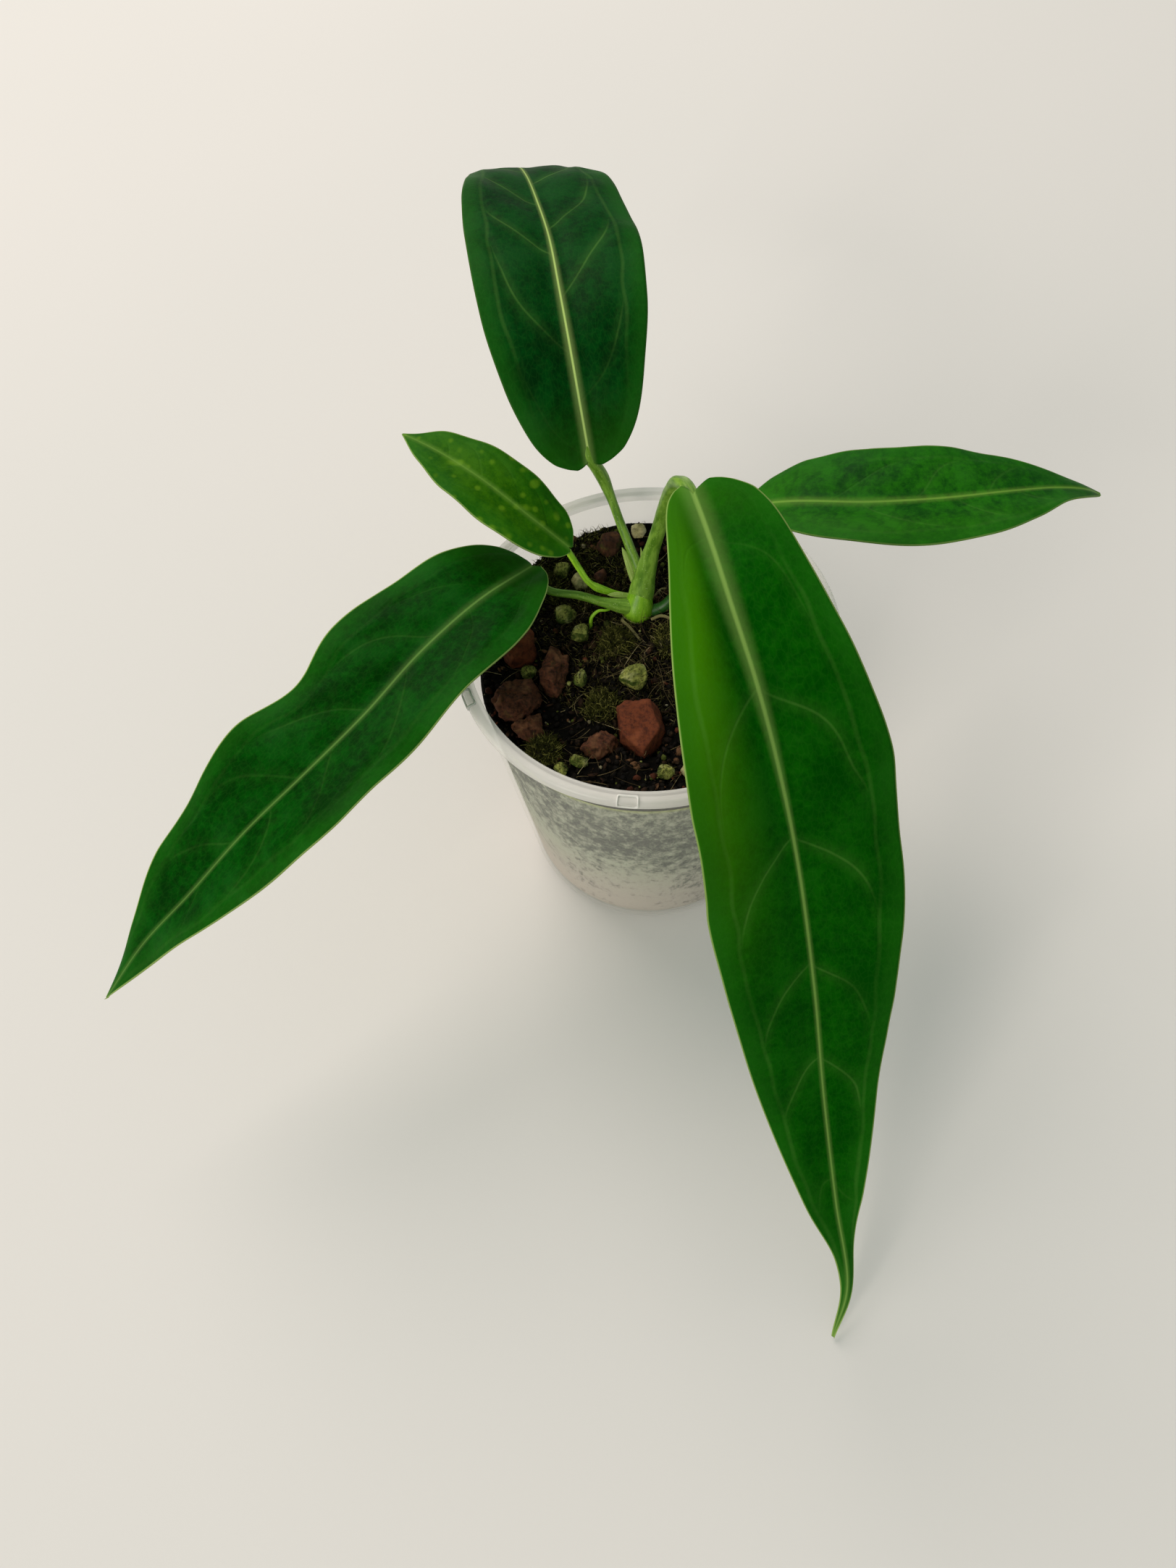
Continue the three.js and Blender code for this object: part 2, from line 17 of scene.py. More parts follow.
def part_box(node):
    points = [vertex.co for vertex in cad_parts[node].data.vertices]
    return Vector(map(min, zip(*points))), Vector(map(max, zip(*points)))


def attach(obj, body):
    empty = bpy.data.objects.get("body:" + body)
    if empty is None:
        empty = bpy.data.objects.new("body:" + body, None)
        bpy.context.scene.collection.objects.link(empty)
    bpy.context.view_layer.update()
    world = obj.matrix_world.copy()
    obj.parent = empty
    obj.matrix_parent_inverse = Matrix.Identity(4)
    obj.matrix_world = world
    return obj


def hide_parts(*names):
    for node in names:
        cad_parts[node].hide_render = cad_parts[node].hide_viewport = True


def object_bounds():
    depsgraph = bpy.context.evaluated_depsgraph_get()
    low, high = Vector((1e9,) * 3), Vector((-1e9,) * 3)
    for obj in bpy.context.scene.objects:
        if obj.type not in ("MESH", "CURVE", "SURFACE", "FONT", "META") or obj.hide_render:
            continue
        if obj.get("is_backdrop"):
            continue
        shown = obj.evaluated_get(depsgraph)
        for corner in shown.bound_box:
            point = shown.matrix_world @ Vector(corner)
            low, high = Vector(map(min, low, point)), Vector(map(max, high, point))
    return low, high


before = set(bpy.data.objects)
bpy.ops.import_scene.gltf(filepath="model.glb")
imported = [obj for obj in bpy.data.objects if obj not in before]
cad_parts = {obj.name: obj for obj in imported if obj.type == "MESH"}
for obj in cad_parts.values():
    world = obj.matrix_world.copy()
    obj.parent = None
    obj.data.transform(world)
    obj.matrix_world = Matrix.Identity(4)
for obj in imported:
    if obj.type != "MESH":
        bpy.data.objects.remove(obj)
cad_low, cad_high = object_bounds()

MM = 0.001
print("CAD box in mm:", [round(v / MM) for v in (cad_high - cad_low)])

# %% [markdown]
# ## Small helpers
# Colours are written as sRGB hex, the way a paint chip is read, and one function turns them to the linear
# values that Blender works with. One more function adds a shader node with its settings and links, so that a
# finish reads as a list of layers.


# %% Colours and shader nodes
def linear(hex_colour):
    """sRGB hex to a linear RGBA colour."""
    channels = [int(hex_colour[i:i + 2], 16) / 255 for i in (1, 3, 5)]
    return tuple(c / 12.92 if c <= 0.04045 else ((c + 0.055) / 1.055) ** 2.4 for c in channels) + (1.0,)


def add(tree, kind, inputs=(), out=0, to=None, **settings):
    """Adds a shader node. inputs is a list in socket order or a dict by socket name or number; a socket in
    it is linked and a value is set. Gives back one output, and links it to a socket if one is given in
    to."""
    made = tree.nodes.new("ShaderNode" + kind)
    for key, value in settings.items():
        setattr(made, key, value)
    pairs = inputs.items() if isinstance(inputs, dict) else enumerate(inputs)
    for key, value in pairs:
        if isinstance(value, bpy.types.NodeSocket):
            tree.links.new(value, made.inputs[key])
        else:
            made.inputs[key].default_value = value
    if to is not None:
        tree.links.new(made.outputs[out], to)
    return made.outputs[out] if len(made.outputs) else None


def finish_of(name, **sockets):
    """A new material with a principled shader. Gives the material, its tree, the shader and the position."""
    material = bpy.data.materials.new(name)
    material.use_nodes = True
    tree = material.node_tree
    tree.nodes.clear()
    body = add(tree, "BsdfPrincipled", {key.replace("_", " "): value for key, value in sockets.items()})
    add(tree, "OutputMaterial", [body])
    return material, tree, body.node, add(tree, "NewGeometry", out="Position")


# %% [markdown]
# ## Building meshes
# Every piece is a closed mesh made from rows of points. `piece` puts it in the scene, gives it its finish,
# lets it ride on the one body, and hides the plain CAD solids it stands for. Numbers kept on the points,
# such as the distance along a leaf, let the finish follow the shape.


# %% Mesh helpers
def piece(name, points, faces, finishes, nodes=(), slot=None, which=None, **values):
    """Makes a mesh object from points in metres. which picks a finish for each face, and values are numbers
    kept on the points for the shader."""
    mesh = bpy.data.meshes.new(name)
    mesh.from_pydata([tuple(p) for p in points], [], [tuple(f) for f in faces])
    for finish in finishes:
        mesh.materials.append(finish)
    if which is not None:
        mesh.polygons.foreach_set("material_index", which)
    mesh.polygons.foreach_set("use_smooth", [True] * len(mesh.polygons))
    for key, numbers in values.items():
        numbers = np.asarray(numbers, np.float32)
        kind, field = ("FLOAT_VECTOR", "vector") if numbers.ndim == 2 else ("FLOAT", "value")
        mesh.attributes.new(key, kind, "POINT").data.foreach_set(field, numbers.ravel())
    mesh.update()
    made = bpy.data.objects.new(name, mesh)
    bpy.context.scene.collection.objects.link(made)
    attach(made, "root")
    if nodes:
        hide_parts(*nodes)
    return made


def skin(rings):
    """Points and faces of a closed skin over rings of equal count, with a fan to a point at each end."""
    rows, count = len(rings), len(rings[0])
    faces = []
    for j in range(rows - 1):
        for i in range(count):
            k = (i + 1) % count
            faces.append((j * count + i, j * count + k, (j + 1) * count + k, (j + 1) * count + i))
    first, last = rows * count, rows * count + 1
    for i in range(count):
        k = (i + 1) % count
        faces.append((first, k, i))
        faces.append((last, (rows - 1) * count + i, (rows - 1) * count + k))
    points = np.vstack([np.concatenate(rings), rings[0].mean(0)[None], rings[-1].mean(0)[None]])
    return points, faces


def through(route, steps):
    """Evenly spaced points and directions on the centripetal curve through a route, and its length."""
    p = np.array(route, float)
    p = np.vstack([2 * p[0] - p[1], p, 2 * p[-1] - p[-2]])
    fine = []
    for i in range(1, len(p) - 2):
        t = np.concatenate([[0], np.cumsum(np.linalg.norm(np.diff(p[i - 1:i + 3], axis=0), axis=1) ** 0.5)])
        for s in np.linspace(t[1], t[2], 40, endpoint=i == len(p) - 3):
            a = [p[i - 1 + k] + (p[i + k] - p[i - 1 + k]) * (s - t[k]) / (t[k + 1] - t[k]) for k in range(3)]
            b = [a[k] + (a[k + 1] - a[k]) * (s - t[k]) / (t[k + 2] - t[k]) for k in range(2)]
            fine.append(b[0] + (b[1] - b[0]) * (s - t[1]) / (t[2] - t[1]))
    fine = np.array(fine)
    length = np.concatenate([[0], np.cumsum(np.linalg.norm(np.diff(fine, axis=0), axis=1))])
    at = np.linspace(0, length[-1], steps + 1)
    points = np.stack([np.interp(at, length, fine[:, k]) for k in range(3)], 1)
    along = np.gradient(points, axis=0)
    return points, along / np.linalg.norm(along, axis=1)[:, None], length[-1]


def profile(pairs, t):
    """A smooth curve through (t, value) pairs that never overshoots between them."""
    x, y = np.array(pairs, float).T
    rise = np.diff(y) / np.diff(x)
    both = rise[:-1] * rise[1:]
    inner = np.where(both > 0, 2 * both / (rise[:-1] + rise[1:] + 1e-12), 0)
    slope = np.concatenate([[rise[0]], inner, [rise[-1]]])
    i = np.clip(np.searchsorted(x, t) - 1, 0, len(x) - 2)
    step = x[i + 1] - x[i]
    q = (t - x[i]) / step
    start = y[i] * (1 + 2 * q) + step * slope[i] * q
    end = y[i + 1] * (3 - 2 * q) - step * slope[i + 1] * (1 - q)
    return start * (1 - q) ** 2 + end * q ** 2


# %% [markdown]
# ## The heights everything hangs on
# The rim and the height of the cup come from the CAD pot. The mix lies a headspace below the rim, and the
# plant's routes are heights above it, as in the CAD model.

# %% Sizes taken from the frame
pot_low, pot_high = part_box("pot")
RIM_RADIUS = (pot_high.x - pot_low.x) / 2 / MM
POT_HEIGHT = pot_high.z / MM
HEADSPACE = 12.5
MIX_LEVEL = POT_HEIGHT - HEADSPACE
LOOK_DOWN_FROM = 200
print("rim radius", round(RIM_RADIUS, 1), "height", round(POT_HEIGHT, 1), "mix level", round(MIX_LEVEL, 1))


def cad_tree(node):
    """A tree of a CAD node's faces, for asking where a straight line meets it."""
    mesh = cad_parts[node].data
    faces = [tuple(p.vertices) for p in mesh.polygons]
    return BVHTree.FromPolygons([v.co.copy() for v in mesh.vertices], faces)


mix_tree = cad_tree("potting_mix")


def mix_height(x, y):
    """Height of the CAD mix under a point, all in millimetres."""
    hit = mix_tree.ray_cast(Vector((x, y, LOOK_DOWN_FROM)) * MM, Vector((0, 0, -1)))[0]
    return hit.z / MM if hit else MIX_LEVEL


# %% [markdown]
# ## The camera, the floor and the light
# The camera looks down on the plant from the front at about 61 degrees, from under half a metre away, with
# the wide view of a hand-held telephone, and is tilted a little to one side. The floor is plain, warm white
# paper. The light is a soft window from the front left and a wide glow from above and behind, so shadows
# stay faint.

# %% Camera
CAMERA_PLACE = Vector((-19.35, -179.56, 347.2)) * MM
CAMERA_ELEVATION = math.radians(61.09)
CAMERA_ROLL = math.radians(6.26)
camera_data = bpy.data.cameras.new("camera")
camera_data.lens = 27.07
camera_data.sensor_width = 36.0
camera_data.clip_start = 0.01
camera = bpy.data.objects.new("camera", camera_data)
bpy.context.scene.collection.objects.link(camera)
tilt = Matrix.Rotation(math.pi / 2 - CAMERA_ELEVATION, 4, "X")
camera.matrix_world = Matrix.Translation(CAMERA_PLACE) @ tilt @ Matrix.Rotation(-CAMERA_ROLL, 4, "Z")
bpy.context.scene.camera = camera

# %% Floor
FLOOR_SIZE = 4.0
paper, tree, shader, place = finish_of("uncoated_white_paper", Roughness=0.9)
shader.inputs["Specular IOR Level"].default_value = 0.2
cloudy = add(tree, "TexNoise", {"Vector": place, "Scale": 1 / (240 * MM), "Detail": 1.0})
add(tree, "Mix", {0: cloudy, 6: linear("#e0ddda"), 7: linear("#dad9d6")}, 2, shader.inputs["Base Color"],
    data_type="RGBA")
tooth = add(tree, "TexNoise", {"Vector": place, "Scale": 1 / (1.6 * MM), "Detail": 2.0})
add(tree, "Bump", {"Height": tooth, "Distance": 0.05 * MM, "Strength": 0.4}, to=shader.inputs["Normal"])
half = FLOOR_SIZE / 2
floor_mesh = bpy.data.meshes.new("floor")
corners = [(-half, -half, 0), (half, -half, 0), (half, half, 0), (-half, half, 0)]
floor_mesh.from_pydata(corners, [], [(0, 1, 2, 3)])
floor_mesh.materials.append(paper)
floor = bpy.data.objects.new("floor", floor_mesh)
bpy.context.scene.collection.objects.link(floor)
floor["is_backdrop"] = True


# %% Lights
def soft_light(name, place, aim, size, power, colour):
    """A square area light, in metres and watts."""
    data = bpy.data.lights.new(name, "AREA")
    data.shape = "SQUARE"
    data.size = size
    data.energy = power
    data.color = linear(colour)[:3]
    made = bpy.data.objects.new(name, data)
    bpy.context.scene.collection.objects.link(made)
    facing = (Vector(aim) - Vector(place)).to_track_quat("-Z", "Y").to_matrix().to_4x4()
    made.matrix_world = Matrix.Translation(place) @ facing


soft_light("window", (-1.5, -1.7, 1.3), (0, 0, 0.05), 0.9, 31, "#fff4ea")
soft_light("ceiling", (-0.6, 1.3, 1.6), (0, 0.1, 0), 1.6, 34, "#fff0e8")
world = bpy.data.worlds.new("studio")
bpy.context.scene.world = world
world.use_nodes = True
world.node_tree.nodes["Background"].inputs["Color"].default_value = linear("#e2f3ee")
world.node_tree.nodes["Background"].inputs["Strength"].default_value = 0.43
bpy.context.scene.view_settings.view_transform = "Standard"

# %% [markdown]
# ## The pot
# A cheap grower's cup of polypropylene, injection moulded in one shot. The plastic is cloudy, so what is
# behind it shows as soft patches. It could be made as true rough glass, but two thin rough walls are slow
# and noisy; a white skin that lets most of the light straight through gives the same cloudy look.

# %% Frosted polypropylene
frosted, tree, shader, place = finish_of("frosted_polypropylene", Roughness=0.32, IOR=1.49, Alpha=0.11)
haze = add(tree, "TexNoise", {"Vector": place, "Scale": 1 / (14 * MM), "Detail": 2.0})
add(tree, "Mix", {0: haze, 6: linear("#d8dacd"), 7: linear("#ecebe2")}, 2, shader.inputs["Base Color"],
    data_type="RGBA")
ripple = add(tree, "TexNoise", {"Vector": place, "Scale": 1 / (3 * MM), "Detail": 2.0})
add(tree, "Bump", {"Height": ripple, "Distance": 0.06 * MM, "Strength": 0.4}, to=shader.inputs["Normal"])

lip_plastic, tree, shader, place = finish_of("polypropylene_lip", Roughness=0.25, IOR=1.49, Alpha=0.5)
haze = add(tree, "TexNoise", {"Vector": place, "Scale": 1 / (9 * MM), "Detail": 2.0})
add(tree, "Mix", {0: haze, 6: linear("#e6e4dd"), 7: linear("#f6f4f0")}, 2, shader.inputs["Base Color"],
    data_type="RGBA")
ripple = add(tree, "TexNoise", {"Vector": place, "Scale": 1 / (5 * MM), "Detail": 1.0})
add(tree, "Bump", {"Height": ripple, "Distance": 0.05 * MM, "Strength": 0.4}, to=shader.inputs["Normal"])

mark_plastic, tree, shader, place = finish_of("polypropylene_thick_mark", Roughness=0.2, IOR=1.49, Alpha=0.8)
haze = add(tree, "TexNoise", {"Vector": place, "Scale": 1 / (2 * MM), "Detail": 2.0})
add(tree, "Mix", {0: haze, 6: linear("#e2e1da"), 7: linear("#fbfaf7")}, 2, shader.inputs["Base Color"],
    data_type="RGBA")

# %% Pot section, from the middle of the underside, round the lip, and back to the middle inside
WALL = 0.9
RIM_WIDTH = 3.6
RIM_SKIRT = 3.0
SKIRT_GAP = 1.8
BASE_RADIUS = 38.6
FLOOR_THICKNESS = 1.2
FOOT_ROUND = 3.0
INNER_EDGE = 0.4
CORNER = 0.35
WALL_TOP = RIM_RADIUS - WALL - SKIRT_GAP
LIP_UNDER = POT_HEIGHT - WALL
POT_SIDES = 176


def arc(centre_r, centre_z, radius, start, end, steps):
    """Points of an arc in the section, from one angle to another in degrees."""
    angles = np.radians(np.linspace(start, end, steps + 1))
    return [(centre_r + radius * math.cos(a), centre_z + radius * math.sin(a)) for a in angles]


def wall_radius(z):
    """Outer radius of the wall at a height."""
    return BASE_RADIUS + (WALL_TOP - BASE_RADIUS) * (z - FOOT_ROUND) / (LIP_UNDER - FOOT_ROUND)


foot = BASE_RADIUS - FOOT_ROUND
section = [(foot - 2, 0.0)] + arc(foot, FOOT_ROUND, FOOT_ROUND, -90, 0, 8)
section += [(wall_radius(z), z) for z in np.linspace(FOOT_ROUND + 4, LIP_UNDER - 3, 8)]
section += [(WALL_TOP, LIP_UNDER - CORNER), (WALL_TOP + CORNER, LIP_UNDER)]
section += [(RIM_RADIUS - WALL - CORNER, LIP_UNDER), (RIM_RADIUS - WALL, LIP_UNDER - CORNER)]
section += arc(RIM_RADIUS - WALL / 2, POT_HEIGHT - RIM_SKIRT + WALL / 2, WALL / 2, 180, 360, 6)
section += arc(RIM_RADIUS - WALL, POT_HEIGHT - WALL, WALL, 0, 90, 6)
section += arc(RIM_RADIUS - RIM_WIDTH + INNER_EDGE, POT_HEIGHT - INNER_EDGE, INNER_EDGE, 90, 170, 4)
section += [(wall_radius(z) - WALL, z) for z in np.linspace(LIP_UNDER - WALL, FOOT_ROUND + 3, 9)]
section += arc(foot, FOOT_ROUND + 0.3, FOOT_ROUND - WALL, 0, -90, 6)
section += [(foot - 2, FLOOR_THICKNESS)]
print("pot section has", len(section), "points, wall top radius", round(WALL_TOP, 2))


# %% Turn the section, and leave the drain holes open in the floor
DRAIN_HOLES = 6
DRAIN_RADIUS = 1.9
DRAIN_RING = 24.0
HOLE_SIDES = 24


def pot_floor(z, up):
    """Rings of the pot's floor with round drain holes, as a triangulated disc in the plane z."""
    made = bmesh.new()
    loops = [(0, 0, foot - 2, POT_SIDES)]
    for k in range(DRAIN_HOLES):
        a = 2 * math.pi * k / DRAIN_HOLES
        loops.append((DRAIN_RING * math.cos(a), DRAIN_RING * math.sin(a), DRAIN_RADIUS, HOLE_SIDES))
    for x, y, radius, count in loops:
        ring = [made.verts.new((x + radius * math.cos(2 * math.pi * i / count),
                                y + radius * math.sin(2 * math.pi * i / count), z)) for i in range(count)]
        for i in range(count):
            made.edges.new((ring[i], ring[(i + 1) % count]))
    bmesh.ops.triangle_fill(made, edges=made.edges[:], use_beauty=True)
    made.verts.index_update()
    points = np.array([v.co[:] for v in made.verts])
    faces = []
    for face in made.faces:
        loop = [v.index for v in face.verts]
        faces.append(loop if (face.normal.z > 0) == up else loop[::-1])
    made.free()
    return points, faces


rows = []
for k in range(POT_SIDES):
    a = 2 * math.pi * k / POT_SIDES
    rows.append(np.array([(r * math.cos(a), r * math.sin(a), z) for r, z in section]))
count = len(section)
pot_faces = []
for k in range(POT_SIDES):
    other = (k + 1) % POT_SIDES
    for i in range(count - 1):
        pot_faces.append((k * count + i, other * count + i, other * count + i + 1, k * count + i + 1))
pot_points = np.vstack(rows)
under, under_faces = pot_floor(0.0, False)
inside, inside_faces = pot_floor(FLOOR_THICKNESS, True)
start_under = len(pot_points)
start_inside = start_under + len(under)
pot_points = np.vstack([pot_points, under, inside])
pot_faces += [tuple(i + start_under for i in f) for f in under_faces]
pot_faces += [tuple(i + start_inside for i in f) for f in inside_faces]
for k in range(DRAIN_HOLES):
    first = POT_SIDES + HOLE_SIDES * k
    for i in range(HOLE_SIDES):
        a, b = first + i, first + (i + 1) % HOLE_SIDES
        pot_faces.append((start_under + a, start_under + b, start_inside + b, start_inside + a))
on_lip = [int(min(pot_points[i][2] for i in f) > POT_HEIGHT - RIM_SKIRT - 0.2) for f in pot_faces]
pot = piece("pot_shell", pot_points * MM, pot_faces, [frosted, lip_plastic], ["pot"], "pot", on_lip)
welder = bmesh.new()
welder.from_mesh(pot.data)
bmesh.ops.remove_doubles(welder, verts=welder.verts[:], dist=0.01 * MM)
bmesh.ops.recalc_face_normals(welder, faces=welder.faces[:])
welder.to_mesh(pot.data)
open_edges = sum(1 for e in welder.edges if len(e.link_faces) != 2)
welder.free()
print("pot shell has", len(pot.data.vertices), "points and", open_edges, "open edges")

# %% Two small moulded marks on the lip, as raised frames that wrap over its outer edge
MARK_WIDTH = 5.6
MARK_REACH = 3.8
MARK_START = -1.3
MARK_BAR = 0.55
MARK_PROUD = 0.4
MARK_SUNK = -0.1
MARK_CORNER = 0.6
MARK_BEVEL = 0.08


def over_lip(path, proud):
    """Radius and height of a place on the lip, as a path from its top over the edge and down the skirt."""
    bend = math.pi / 2 * WALL
    turn = min(max(path, 0), bend) / WALL
    radius = RIM_RADIUS - WALL + min(path, 0) + (WALL + proud) * math.sin(turn)
    return radius, POT_HEIGHT - WALL + (WALL + proud) * math.cos(turn) - max(path - bend, 0)


def lip_mark(name, direction):
    """A frame of four rounded bars standing a little proud of the lip, at an angle in degrees."""
    angle = math.radians(direction)
    middle = MARK_START + MARK_REACH / 2
    outline = []
    for corner in range(4):
        sx, sy = (1, 1, -1, -1)[corner], (-1, 1, 1, -1)[corner]
        for step in range(5):
            a = math.radians(-90 + 90 * corner + 22.5 * step)
            outline.append((sx * (MARK_WIDTH / 2 - MARK_CORNER) + MARK_CORNER * math.cos(a),
                            sy * (MARK_REACH / 2 - MARK_CORNER) + MARK_CORNER * math.sin(a)))
    outline = [(p * (1 - k / 6) + q * k / 6, r * (1 - k / 6) + t * k / 6)
               for (p, r), (q, t) in zip(outline, outline[1:] + outline[:1]) for k in range(6)]
    bar = ((0.0, MARK_SUNK), (MARK_BEVEL, MARK_PROUD), (MARK_BAR - MARK_BEVEL, MARK_PROUD),
           (MARK_BAR, MARK_SUNK))
    points, faces = [], []
    for x, y in outline:
        for inset, proud in bar:
            radius, z = over_lip(middle + y * (1 - 2 * inset / MARK_REACH), proud)
            at = angle + x * (1 - 2 * inset / MARK_WIDTH) / RIM_RADIUS
            points.append((radius * math.cos(at), radius * math.sin(at), z))
    count = len(outline)
    for i in range(count):
        k = (i + 1) % count
        for j in range(4):
            faces.append((4 * i + j, 4 * k + j, 4 * k + (j + 1) % 4, 4 * i + (j + 1) % 4))
    return piece(name, np.array(points) * MM, faces, [mark_plastic], (), "pot")


for name, direction in (("lip_mark_front", -102.2), ("lip_mark_left", -163.4)):
    print(lip_mark(name, direction).name, "at", direction, "degrees")

# %% [markdown]
# ## Leaves
# Each blade is a strap with two small ears at its stalk and a drawn-out tip. A flat outline bent along a
# midrib could be modelled by hand, but a formula keeps it the same as the CAD solid: a curve gives the
# midrib, two profiles give the half widths, and the section folds up from the midrib and droops again to
# the margin. Between the side veins the blade swells a little, so the light breaks up over it as on a real
# leaf.

# %% Leaf routes and outlines, as in the CAD model
TIP_CLEARANCE = 1.6
FRONT_TOP = MIX_LEVEL + 68


def drop(share):
    """Height of the front blade above the mix, from its stalk down to the table."""
    return TIP_CLEARANCE + (FRONT_TOP - TIP_CLEARANCE) * share - MIX_LEVEL


leaves = {
    "back": dict(
        midrib=[(-10, 40, 35), (-11, 46, 47), (-12, 57, 56), (-13, 72, 61), (-14, 91, 61.8), (-16, 111, 59),
                (-18, 129, 54.4), (-20, 144, 47), (-21.5, 154, 33.4), (-22, 159, 14), (-22, 160, -5)],
        left=[(0, 3.5), (0.006, 6), (0.02, 9.6), (0.06, 14.4), (0.12, 18), (0.22, 20.8), (0.35, 21.8),
              (0.48, 20.2), (0.58, 17), (0.7, 12.8), (0.86, 7), (1, 0.5)],
        right=[(0, 3.5), (0.006, 6), (0.02, 9.6), (0.06, 13.8), (0.12, 17.4), (0.22, 21.4), (0.35, 23),
               (0.5, 23.4), (0.6, 22), (0.7, 17.5), (0.86, 9), (1, 0.5)],
        lobe=2, wave=0.6, spacing=26,
        roll=[(0, 0), (0.2, 0.02), (0.4, 0.13), (0.55, 0.15), (0.7, 0.15), (1, 0.1)],
        flatten=[(0, 0), (0.3, 0.03), (0.5, 0.1), (0.7, 0.14), (1, 0.14)]),
    "small": dict(
        midrib=[(-18, 23, 21.5), (-27, 28.5, 28.5), (-37, 37, 33.5), (-48, 47, 35.5), (-58, 56.5, 34.5)],
        left=[(0, 1.2), (0.01, 2.6), (0.04, 5), (0.12, 8), (0.25, 9.8), (0.4, 10.3), (0.6, 9.3), (0.8, 5.8),
              (1, 0.3)],
        right=[(0, 1.2), (0.01, 2.6), (0.04, 5.2), (0.12, 8.4), (0.25, 9.8), (0.4, 10.3), (0.6, 9.3),
               (0.8, 6.4), (1, 0.3)],
        lobe=1, wave=0.3, spacing=11),
    "left": dict(
        midrib=[(-28, 23, 15), (-42, 9, 21), (-57, -7, 23.5), (-71, -23, 23), (-86, -35, 19), (-102, -45, 12),
                (-119, -55, 1), (-134, -62, -10), (-147, -70, -22)],
        left=[(0, 2), (0.005, 4), (0.015, 6.4), (0.03, 8.8), (0.06, 12), (0.13, 16.5), (0.22, 17.8),
              (0.44, 16.4), (0.52, 17.8), (0.62, 15.8), (0.75, 11.9), (0.9, 5), (1, 0.4)],
        right=[(0, 3.5), (0.008, 7.4), (0.02, 10.6), (0.06, 15), (0.13, 18.8), (0.3, 21.2), (0.42, 19.2),
               (0.54, 21.6), (0.65, 18.6), (0.76, 15), (0.87, 7), (1, 0.4)],
        lobe=1.4, wave=1.2, spacing=24),
    "front": dict(
        midrib=[(9.8, -6.2, drop(1)), (11, -20, drop(1.016)), (13, -36, drop(1.006)), (16.3, -52, drop(0.96)),
                (20, -66, drop(0.863)), (24, -79, drop(0.713)), (27, -95, drop(0.544)),
                (29, -113, drop(0.368)),
                (31, -134, drop(0.211)), (33, -152, drop(0.081)), (29, -162, drop(0))],
        left=[(0, 4.6), (0.004, 7), (0.012, 9.6), (0.03, 12.8), (0.1, 17), (0.2, 21), (0.32, 24),
              (0.42, 23.2), (0.55, 18.4), (0.7, 12.2), (0.8, 7.2), (0.89, 2.4), (1, 0.4)],
        right=[(0, 2.2), (0.006, 3.8), (0.03, 6.6), (0.1, 10.5), (0.2, 17), (0.3, 21), (0.4, 22.3), (0.5, 21),
               (0.6, 18.2), (0.7, 14), (0.8, 8.4), (0.89, 2.6), (1, 0.4)],
        lobe=4, wave=0.8, spacing=34, first_veins=(0.17, 0.15)),
    "right": dict(
        midrib=[(29, 19, 34), (38, 13.5, 40), (54, 6.5, 45), (70, 4.5, 46), (89, 7, 43), (101, 10, 39),
                (110, 12, 35), (116, 14, 30)],
        left=[(0, 4), (0.04, 9), (0.12, 13.4), (0.25, 15.6), (0.4, 15.8), (0.55, 14.4), (0.7, 10.4),
              (0.82, 5.4), (1, 0.3)],
        right=[(0, 2.5), (0.04, 6), (0.12, 9), (0.25, 12.4), (0.4, 14.4), (0.55, 13.4), (0.7, 9), (0.82, 5),
               (1, 0.3)],
        lobe=1.5, wave=0.4, spacing=19),
}

# %% Leaf geometry
BLADE = 0.7
MARGIN = 0.35
RIB = 0.9
FOLD = 0.25
DROOP = 0.13
LOBE_END = 0.28
WAVES = 4
MIDRIB_STEPS = 600
LEAF_ROWS = 200
HALF_COLUMNS = 28
COLLECTING_VEIN = 0.74
VEINS_END = 0.84
QUILT = 0.35


def noise_grid(across, along, seed):
    """Perlin noise on a grid of two matching arrays."""
    flat = [noise.noise(Vector((a, b, seed))) for a, b in zip(across.ravel(), along.ravel())]
    return np.array(flat).reshape(across.shape)


